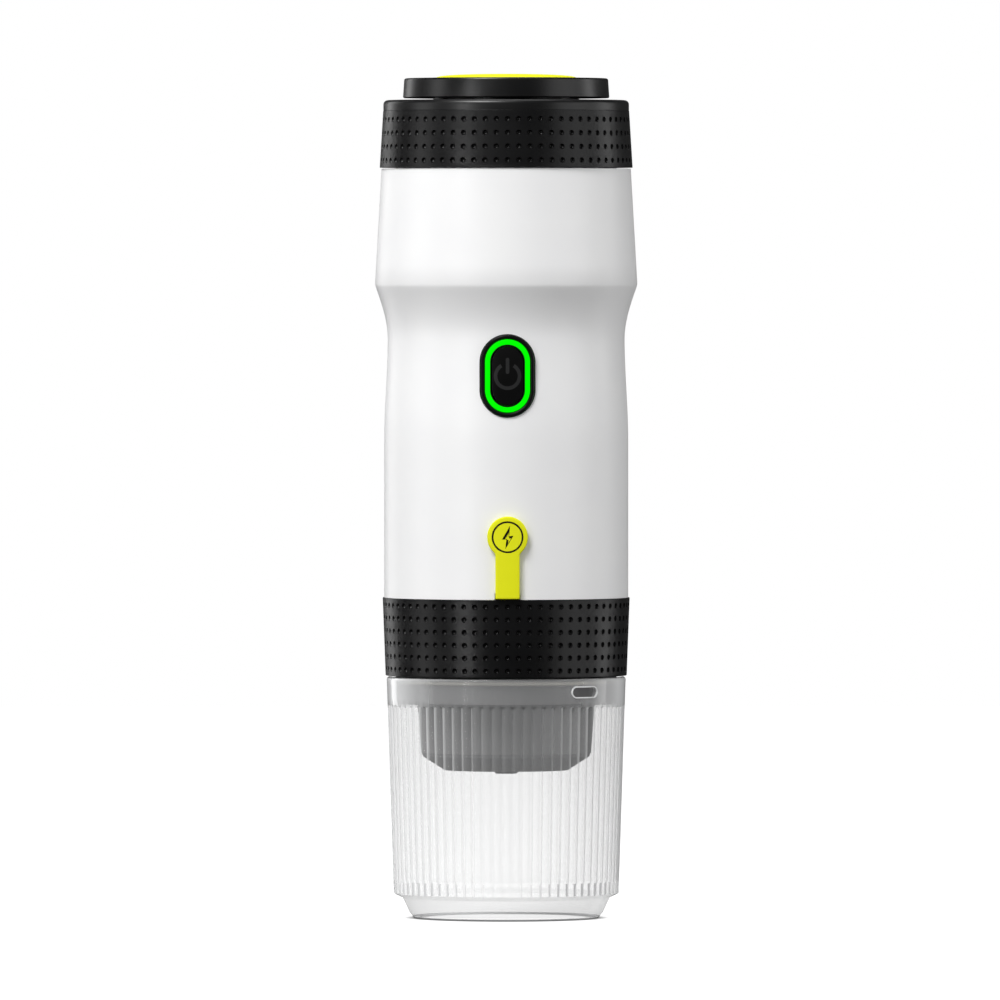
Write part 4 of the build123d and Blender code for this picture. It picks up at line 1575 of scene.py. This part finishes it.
@dataclass
class ClearCup:
    """Clear cup with a reeded wall, a plain rim band, a foot and a vent slot."""

    palette: Palette
    reeds: int = 70
    points_per_reed: int = 8
    reed_depth: float = 0.45
    wall: float = 1.7
    base_radius: float = 30.9
    foot_height: float = 6.9
    foot_chamfer_height: float = 1.3
    foot_step: float = 2.5
    foot_taper: float = 2.6
    foot_wall: float = 2.4
    foot_round: float = 0.8
    foot_flat: float = 2.0
    foot_break: float = 0.4
    shoulder_break: float = 0.1
    recess_break: float = 1.0
    floor_rise: float = 3.6
    floor_thickness: float = 3.0
    floor_corner: float = 3.0
    floor_rings: Pair = (14.0, 5.0)
    wall_rings: Pair = (40.0, 22.0)
    band_height: float = 7.6
    reed_fade: float = 0.8
    reed_fade_rings: tuple[float, ...] = (0.0, 0.35, 0.65, 0.85, 1.0)
    rim_round: float = 0.5
    smooth_angle: float = 28.0
    vent_length: float = 8.7
    vent_height: float = 2.6
    vent_below_rim: float = 3.7
    vent_angle: float = 40.7
    vent_reach: float = 6.0
    bead: float = 0.35
    bead_slices: int = 9
    bead_haze: float = 4.0
    inner_haze: float = 0.08
    under_haze: float = 0.03
    foot_haze: float = 4.0
    foot_haze_top: float = 0.48
    reed_veil: float = 0.65
    base_top: float = 10.2
    base_edge: float = 0.15
    dash_reach: float = 0.875  # across a reed, where its crest is 0 and its valleys are 1

    def __post_init__(self) -> None:
        """Read the cup's height and rim from the frame."""
        self.top = extent("cup")[1].z
        self.rim_radius = extent("cup")[1].x
        self.reed_top = self.top - self.band_height
        self.shoulder = self.base_radius - self.foot_step
        self.shoulder_z = self.foot_height - self.foot_chamfer_height
        self.foot = self.shoulder - self.foot_taper

    def crest(self, z: float) -> float:
        """Outer radius of the tapered wall at a height."""
        share = (z - self.foot_height) / (self.top - self.foot_height)
        return self.base_radius + share * (self.rim_radius - self.base_radius)

    def across_reed(self, point: Vector) -> float:
        """Place of a point across its reed, from -1 to 1, with 0 on the crest."""
        return math.atan2(point.y, point.x) / math.tau * self.reeds % 1.0 * 2 - 1

    def reeded(self, z: float, share: float) -> Rule:
        """Rule that puts a ring's vertex on the reeded wall.

        Args:
            z: Height of the ring.
            share: How much of the full reed depth is there, from 0 to 1.

        Returns:
            The rule, for extrude_ring.
        """

        def place(point: Vector) -> Vector:
            """Place of one vertex."""
            angle = math.atan2(point.y, point.x)
            radius = self.crest(z) - share * self.reed_depth * self.across_reed(point) ** 2
            return Vector((radius * math.cos(angle), radius * math.sin(angle), z))

        return place

    def build(self) -> None:
        """Draw the cup ring by ring, cut its vent and lay the bead."""
        foot, count = self.foot, self.reeds * self.points_per_reed
        clear_selection()
        bpy.ops.mesh.primitive_circle_add(
            vertices=count, radius=(foot - self.foot_round) * MM, location=(0, 0, 0)
        )
        piece = new_piece("clear_cup")
        with editing(piece):
            bpy.ops.mesh.select_all(action="SELECT")
            for rule in self.outside() + self.inside():
                extrude_ring(piece, rule)
            bpy.ops.mesh.edge_face_add()
            bottom = foot - self.foot_break
            pick_vertices(piece, lambda point: abs(point.z) < WELD and point.length < bottom)
            for rule in self.under():
                extrude_ring(piece, rule)
            bpy.ops.mesh.edge_face_add()
        weld(piece)
        self.cut_vent(piece)
        smooth(piece, self.smooth_angle)
        for name, rule in ((HAZE, self.haze), (VEIL, self.veil), (PAINTED_SHADE, self.shade)):
            set_values(piece, name, rule)
        self.palette.seat(piece, Body.CUP, Slot.CLEAR, "cup")
        self.build_bead()

    def outside(self) -> list[Rule]:
        """Rings of the outer skin, from the foot up and over the rim.

        Returns:
            A rule for each ring.
        """
        rounding, steps = self.foot_round, 4
        points = arc((self.foot - rounding, rounding), rounding, 285, 360, 6)
        for step in range(1, steps + 1):
            radius = self.foot + (self.shoulder - self.foot) * step / steps
            points.append((radius, self.shoulder_z * step / steps))
        rings = [ring_at(radius, z) for radius, z in points]
        base_edge = self.base_top + self.base_edge
        heights = [self.foot_height - self.shoulder_break, self.foot_height]
        heights += [self.base_top, base_edge]
        heights += spread(base_edge, self.reed_top - self.reed_fade, 6)
        rings += [self.reeded(z, 1.0) for z in heights]
        for share in self.reed_fade_rings:
            z = self.reed_top - self.reed_fade * (1 - share)
            rings.append(self.reeded(z, 1 - share**2))
        heights = spread(self.reed_top, self.top - self.rim_round, 3)
        rings += [ring_at(self.crest(z), z) for z in heights]
        half = self.wall / 2
        rim = arc((self.rim_radius - half, self.top - half), half, 0, 180, 9)
        return rings + [ring_at(radius, z) for radius, z in rim]

    def inside(self) -> list[Rule]:
        """Rings of the inner wall and the floor, from the band down.

        Returns:
            A rule for each ring.
        """
        corner, floor_z = self.floor_corner, self.foot_height + self.floor_rise
        points = [(self.crest(z) - self.wall, z) for z in (self.reed_top, *self.wall_rings)]
        middle = (self.crest(floor_z) - self.wall - corner, floor_z + corner)
        points += arc(middle, corner, 360, 270, 7)
        points += [(radius, floor_z) for radius in self.floor_rings]
        return [ring_at(radius, z) for radius, z in points]

    def under(self) -> list[Rule]:
        """Rings of the recess under the foot, from its edge up to the middle.

        Returns:
            A rule for each ring.
        """
        recess_z = self.foot_height + self.floor_rise - self.floor_thickness
        wall = self.foot - self.foot_wall
        points = [(self.foot - self.foot_flat, 0.0), (wall, self.foot_break)]
        points += [(wall, recess_z - self.recess_break), (wall - self.recess_break, recess_z)]
        points += [(radius, recess_z) for radius in self.floor_rings]
        return [ring_at(radius, z) for radius, z in points]

    def haze(self, point: Vector) -> float:
        """Milkiness of the cup's skin at a point."""
        if self.on_outside(point):
            return self.foot_haze if point.z < self.foot_haze_top else 1.0
        return self.inner_haze if point.z > self.foot_height else self.under_haze

    def veil(self, point: Vector) -> float:
        """Veil of the cup's skin at a point: full on the rim band, less on the reeds."""
        if not self.on_outside(point) or point.z < self.base_top + WELD:
            return 0.0
        return 1.0 if point.z > self.reed_top - self.reed_fade else self.reed_veil

    def shade(self, point: Vector) -> float:
        """Painted shade of the cup's skin at a point: on the reeds' crests round the solid base."""
        if self.foot_height - WELD < point.z < self.base_top + WELD and self.on_outside(point):
            return min(max(2 * (self.dash_reach - abs(self.across_reed(point))), 0.0), 1.0)
        return 0.0

    def on_outside(self, point: Vector) -> bool:
        """Whether a point lies on the outer skin of the wall or the foot."""
        if point.z > (self.shoulder_z + self.foot_height) / 2:
            skin = self.crest(point.z)
        else:
            share = min(point.z / self.shoulder_z, 1.0)
            skin = self.shoulder - self.foot_taper * (1 - share)
        return point.xy.length > skin - self.wall / 2

    def turn_to_vent(self, point: Vector) -> Vector:
        """Place of a front point, turned about the main axis to the vent."""
        return Matrix.Rotation(math.radians(self.vent_angle), 3, "Z") @ point

    def cut_vent(self, piece: Piece) -> None:
        """Cut the vent slot through the rim band.

        Args:
            piece: The cup.
        """
        z = self.top - self.vent_below_rim
        back = self.rim_radius - self.vent_reach
        tool = pill_face("vent_slot", self.vent_length, self.vent_height, z, back)
        thicken(tool, 2 * self.vent_reach)
        move_vertices(tool, self.turn_to_vent)
        cut(piece, tool)
        weld(piece)

    def build_bead(self) -> None:
        """Lay a fine bead round the vent slot."""
        z = self.top - self.vent_below_rim
        skin = self.crest(z)
        length, height = self.vent_length + 2 * self.bead, self.vent_height + 2 * self.bead
        back, front = skin - self.bead / 2, skin + self.bead / 2
        piece = flat_ring("vent_bead", length, height, self.bead, z, back, front)
        slice_across(piece, ACROSS, spread(-length / 2, length / 2, self.bead_slices))
        weld(piece)
        wrap_on_front(piece, skin)
        move_vertices(piece, self.turn_to_vent)
        smooth(piece)
        set_values(piece, HAZE, lambda _: self.bead_haze)
        self.palette.seat(piece, Body.CUP, Slot.CLEAR)


@dataclass
class BrewHead:
    """Grey brew chamber with its collar thread, cup ring, cone and funnel."""

    palette: Palette
    taper: float = 1.3
    wall: float = 2.7
    cone_height: float = 3.6
    cone_draw: float = 6.0
    ring_height: float = 7.4
    floor_depth: float = 16.8
    funnel_height: float = 4.5
    nozzle_fit: float = 0.15
    groove_wire: float = 0.6
    edge_round: float = 0.4
    lip_depth: float = 1.3
    lip_width: float = 1.55
    cone_round: float = 1.0
    cone_break: Pair = (0.3, 1.2)
    cone_round_rise: float = 0.8
    floor_break: Pair = (1.0, 0.6)

    def build(self) -> None:
        """Turn the chamber: down the outside and back up the bore."""
        low, high = extent("brew_chamber")
        cup_top = extent("cup")[1].z
        collar = extent("brew_gasket")[1].x
        seal_low, seal_high = extent("cup_seal")
        nozzle = extent("spout_nozzle")[1].x + self.nozzle_fit
        ring = high.x
        ring_low = cup_top - self.ring_height
        groove = seal_high.x - 2 * self.groove_wire
        cone_top = low.z + self.cone_height
        chamber_low = collar - self.taper
        bore = collar - self.wall
        floor_z = cup_top - self.floor_depth
        lip_seat, lip = high.z - self.lip_depth, bore + self.lip_width
        rounding = self.edge_round
        outline = [(bore, lip_seat), (lip, lip_seat), (lip, high.z), (collar - rounding, high.z)]
        outline += [(collar, high.z - rounding), (collar, cup_top), (ring - rounding, cup_top)]
        outline += [(ring, cup_top - rounding / 2), (ring, seal_high.z), (groove, seal_high.z)]
        outline += [(groove, seal_low.z), (ring, seal_low.z), (ring, ring_low + rounding)]
        outline += [(ring - rounding, ring_low), (collar, ring_low)]
        outline += [(chamber_low + self.cone_break[0], cone_top + self.cone_break[1])]
        turn = (chamber_low - self.cone_round, cone_top + self.cone_round_rise)
        outline += arc(turn, self.cone_round, 0, -55, 5)
        outline += [(chamber_low - self.cone_draw, low.z), (nozzle, low.z)]
        outline += [(nozzle, floor_z - self.funnel_height), (bore - self.floor_break[0], floor_z)]
        outline += [(bore, floor_z + self.floor_break[1]), outline[0]]
        piece = lathe("brew_chamber_body", outline)
        smooth(piece)
        self.palette.seat(piece, Body.BREW_HEAD, Slot.GREY, "brew_chamber")


@dataclass
class Thread:
    """Raised screw thread, one turn round a neck or a collar."""

    palette: Palette
    name: str
    body: Body
    slot: Slot
    radius: float
    low: float
    pitch: float = 4.0
    ridge: float = 0.38
    width: float = 1.3
    root: float = 0.3
    crest_share: float = 0.45
    sweep: float = 350.0
    steps: int = 120
    run_out: float = 18.0

    def build(self) -> None:
        """Turn the ridge's section most of a turn, lift it to the pitch and thin out its ends."""
        half = self.width / 2
        crest = self.radius + self.ridge
        root = self.radius - self.root
        top = half * self.crest_share
        corners = ((root, -half), (crest, -top), (crest, top), (root, half), (root, -half))
        piece = lathe(self.name, corners, self.steps, math.radians(self.sweep))
        margin = (360.0 - self.sweep) / 2  # the spin ends this much short of a turn, on either side

        def climb(point: Vector) -> Vector:
            """Place of a point on the rising ridge."""
            angle = math.atan2(point.y, point.x)
            turn = (math.degrees(angle) - margin) % 360.0
            share = min(1.0, turn / self.run_out, (360.0 - turn) / self.run_out)
            radius = root + (point.xy.length - root) * share
            height = self.low + point.z + self.pitch * turn / 360.0
            return Vector((radius * math.cos(angle), radius * math.sin(angle), height))

        move_vertices(piece, climb)
        weld(piece)
        smooth(piece)
        self.palette.seat(piece, self.body, self.slot)


@dataclass
class PumpSpring:
    """Spring under the pump's plunger, which shortens with the stroke."""

    palette: Palette
    wire: float = 0.4
    sides: int = 10
    turns: int = 5
    steps: int = 28

    def build(self) -> None:
        """Draw the wire's section and screw it up to the plunger."""
        low, high = extent("pump_spring")
        radius = (high.x - low.x) / 2 - self.wire
        x, y = high.x - self.wire - radius, high.y - self.wire - radius
        centre = Vector((x, y, low.z + self.wire))
        pitch = (high.z - low.z - 2 * self.wire) / self.turns
        clear_selection()
        bpy.ops.mesh.primitive_circle_add(
            vertices=self.sides,
            radius=self.wire * MM,
            location=(radius * MM, 0, 0),
            rotation=(math.pi / 2, 0, 0),
        )
        piece = new_piece("plunger_spring")
        finish_modifier(
            piece,
            "SCREW",
            screw_offset=pitch * MM,
            iterations=self.turns,
            steps=self.steps,
            render_steps=self.steps,
        )
        with editing(piece):
            bpy.ops.mesh.select_all(action="SELECT")
            bpy.ops.mesh.fill_holes(sides=self.sides)
        weld(piece)
        move_vertices(piece, lambda point: point + centre)
        smooth(piece)
        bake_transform(piece)
        self.palette.fit(piece, Slot.STEEL, "pump_spring")
        faces = len(piece.data.polygons)
        LOG.info("%s stretches between housing and plunger, %d faces", piece.name, faces)


# Studio


@dataclass(frozen=True)
class SoftBox:
    """Large area light that looks at the middle of the machine."""

    name: str
    place: tuple[float, float, float]
    size: Pair
    power: float

    def build(self, target: Vector) -> None:
        """Hang the light.

        Args:
            target: Point that it looks at, in metres.
        """
        clear_selection()
        bpy.ops.object.light_add(type="AREA", location=self.place)
        lamp = bpy.context.active_object
        lamp.name = self.name
        lamp.data.shape = "RECTANGLE"
        lamp.data.size, lamp.data.size_y = self.size
        lamp.data.energy = self.power
        lamp.rotation_euler = (target - Vector(self.place)).to_track_quat("-Z", "Y").to_euler()


@dataclass
class Studio:
    """White sweep, soft boxes and the camera at the photograph's place."""

    camera_distance: float = 4.2
    camera_height: float = 0.179
    camera_side: float = -0.0017
    camera_turn: float = 0.6
    view_centre: float = 0.1147
    view_width: float = 0.2745
    sensor: float = 36.0
    clip_end: float = 100.0
    floor_size: float = 4.0
    floor_tone: float = 0.2
    floor_glow: float = 0.95
    # reach of the floor's painted contact shadow
    painted_contact_shadow_reach: float = 0.0025
    world_above: float = 0.52
    world_below: float = 0.08
    world_gloss: float = 0.05
    world_span: Pair = (-0.5, 0.5)
    boxes: tuple[SoftBox, ...] = (
        SoftBox("key_high_left", (-0.78, -1.16, 1.84), (0.8, 0.8), 44.0),
        SoftBox("strip_front_left", (-1.28, -1.53, 0.12), (0.18, 1.0), 7.5),
        SoftBox("fill_right", (1.10, -0.50, 0.20), (0.8, 1.2), 3.5),
        SoftBox("side_left", (-1.60, -0.15, 0.25), (0.5, 1.2), 3.5),
        SoftBox("rim_left", (-0.77, 0.92, 0.20), (0.3, 1.0), 2.0),
        SoftBox("rim_right", (1.15, 0.30, 0.20), (0.3, 1.0), 2.6),
        SoftBox("top", (0.0, 0.25, 1.50), (0.9, 0.7), 4.0),
    )

    def build(self) -> None:
        """Set the floor, the surrounding light, the soft boxes and the camera."""
        self.build_floor()
        self.build_world()
        target = Vector((0, 0, self.view_centre))
        for box in self.boxes:
            box.build(target)
        self.build_camera()
        bpy.context.scene.view_settings.view_transform = "Standard"

    def build_floor(self) -> None:
        """Lay a white floor that glows a little, as a lit sweep does, with a painted contact shadow
        where ambient occlusion dims its glow.
        """
        clear_selection()
        bpy.ops.mesh.primitive_plane_add(size=self.floor_size, location=(0, 0, 0))
        floor = bpy.context.active_object
        floor.name = "studio_floor"
        shader = Shader("studio_white")
        tone = self.floor_tone
        shader.constant(Base_Color=(tone, tone, tone, 1.0), Roughness=0.9, Specular_IOR_Level=0.1)
        shader.constant(Emission_Color=(1.0, 1.0, 1.0, 1.0))
        # painted contact shadow: ambient occlusion dims the floor's glow near the machine
        painted_contact_shadow = shader.nodes.new("ShaderNodeAmbientOcclusion")
        painted_contact_shadow.inputs["Distance"].default_value = self.painted_contact_shadow_reach
        shade = shader.nodes.new("ShaderNodeMath")
        shade.operation = "MULTIPLY"
        shade.inputs[1].default_value = self.floor_glow
        shader.links.new(painted_contact_shadow.outputs["AO"], shade.inputs[0])
        shader.feed(shade.outputs["Value"], "Emission Strength")
        paint(floor, shader.material)
        floor.visible_diffuse = False
        floor.visible_glossy = False

    def build_world(self) -> None:
        """Surround the scene with white, dimmer as a light than as a backdrop."""
        world = bpy.data.worlds.new("studio_world")
        bpy.context.scene.world = world
        world.use_nodes = True
        nodes, links = world.node_tree.nodes, world.node_tree.links
        backdrop = nodes["Background"]
        backdrop.inputs["Color"].default_value = (1.0, 1.0, 1.0, 1.0)
        path = nodes.new("ShaderNodeLightPath")
        place = nodes.new("ShaderNodeTexCoord")
        parts = nodes.new("ShaderNodeSeparateXYZ")
        height = nodes.new("ShaderNodeMapRange")
        limits = (*self.world_span, self.world_below, self.world_above)
        for key, number in zip(("From Min", "From Max", "To Min", "To Max"), limits):
            height.inputs[key].default_value = number
        links.new(place.outputs["Generated"], parts.inputs["Vector"])
        links.new(parts.outputs["Z"], height.inputs["Value"])
        strength = height.outputs["Result"]
        for mask, value in (("Glossy", self.world_gloss), ("Camera", 1.0)):
            mix = nodes.new("ShaderNodeMix")
            mix.inputs["B"].default_value = value
            links.new(path.outputs[f"Is {mask} Ray"], mix.inputs["Factor"])
            links.new(strength, mix.inputs["A"])
            strength = mix.outputs["Result"]
        links.new(strength, backdrop.inputs["Strength"])

    def build_camera(self) -> None:
        """Stand the camera in front, level with the upper part of the machine."""
        clear_selection()
        turn = math.radians(self.camera_turn)
        across = self.camera_distance * math.sin(turn)
        back = self.camera_distance * math.cos(turn)
        place = Vector((self.camera_side - across, -back, self.camera_height))
        target = Vector((self.camera_side, 0, self.view_centre))
        bpy.ops.object.camera_add(location=place)
        camera = bpy.context.active_object
        camera.rotation_euler = (target - place).to_track_quat("-Z", "Y").to_euler()
        camera.data.sensor_width = self.sensor
        camera.data.lens = self.sensor * (target - place).length / self.view_width
        camera.data.clip_end = self.clip_end
        bpy.context.scene.camera = camera


# The machine


def dress_frame(frame: dict, palette: Palette) -> None:
    """Give every node of the frame the finish of its slot.

    Args:
        frame: The loaded frame.
        palette: The finishes.
    """
    for entry in frame["record"]["subparts"]:
        palette.dress(frame["nodes"][entry["node"]], Slot(entry["material_slot"]))
        LOG.info("%s is dressed in %s", entry["node"], entry["material_slot"])


def main() -> None:
    """Load the frame, build every assembly and set the studio."""
    logging.basicConfig(level=logging.INFO, format="%(message)s")
    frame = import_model()
    palette = Palette()
    dress_frame(frame, palette)
    neck_radius = extent("lid_seal")[1].x + NECK_FIT
    neck_low = extent("water_tank")[1].z - NECK_THREAD_DROP
    collar_radius = extent("brew_gasket")[1].x
    collar_low = extent("brew_chamber")[1].z - COLLAR_THREAD_DROP
    assemblies = (
        WhiteShell(palette),
        GripSleeve(
            palette,
            "lower_sleeve",
            "lower_grip_sleeve",
            Body.HOUSING,
            seat_radius=32.0,
            bottom_radius=33.1,
            top_radius=33.9,
            rows=6,
            row_pitch=3.5,
            first_row_drop=2.0,
        ),
        GripSleeve(
            palette,
            "lid_sleeve",
            "lid_grip_sleeve",
            Body.LID,
            seat_radius=32.6,
            bottom_radius=34.7,
            top_radius=33.75,
            rows=4,
            row_pitch=3.73,
            first_row_drop=2.5,
            edge_round=0.08,
        ),
        Lid(palette),
        PowerButton(palette),
        ChargingFlap(palette),
        ClearCup(palette),
        BrewHead(palette),
        PumpSpring(palette),
        Thread(palette, "neck_thread", Body.HOUSING, Slot.TANK, neck_radius, neck_low),
        Thread(palette, "collar_thread", Body.BREW_HEAD, Slot.GREY, collar_radius, collar_low),
    )
    for assembly in assemblies:
        assembly.build()
    Studio().build()


if __name__ == "__main__":
    main()
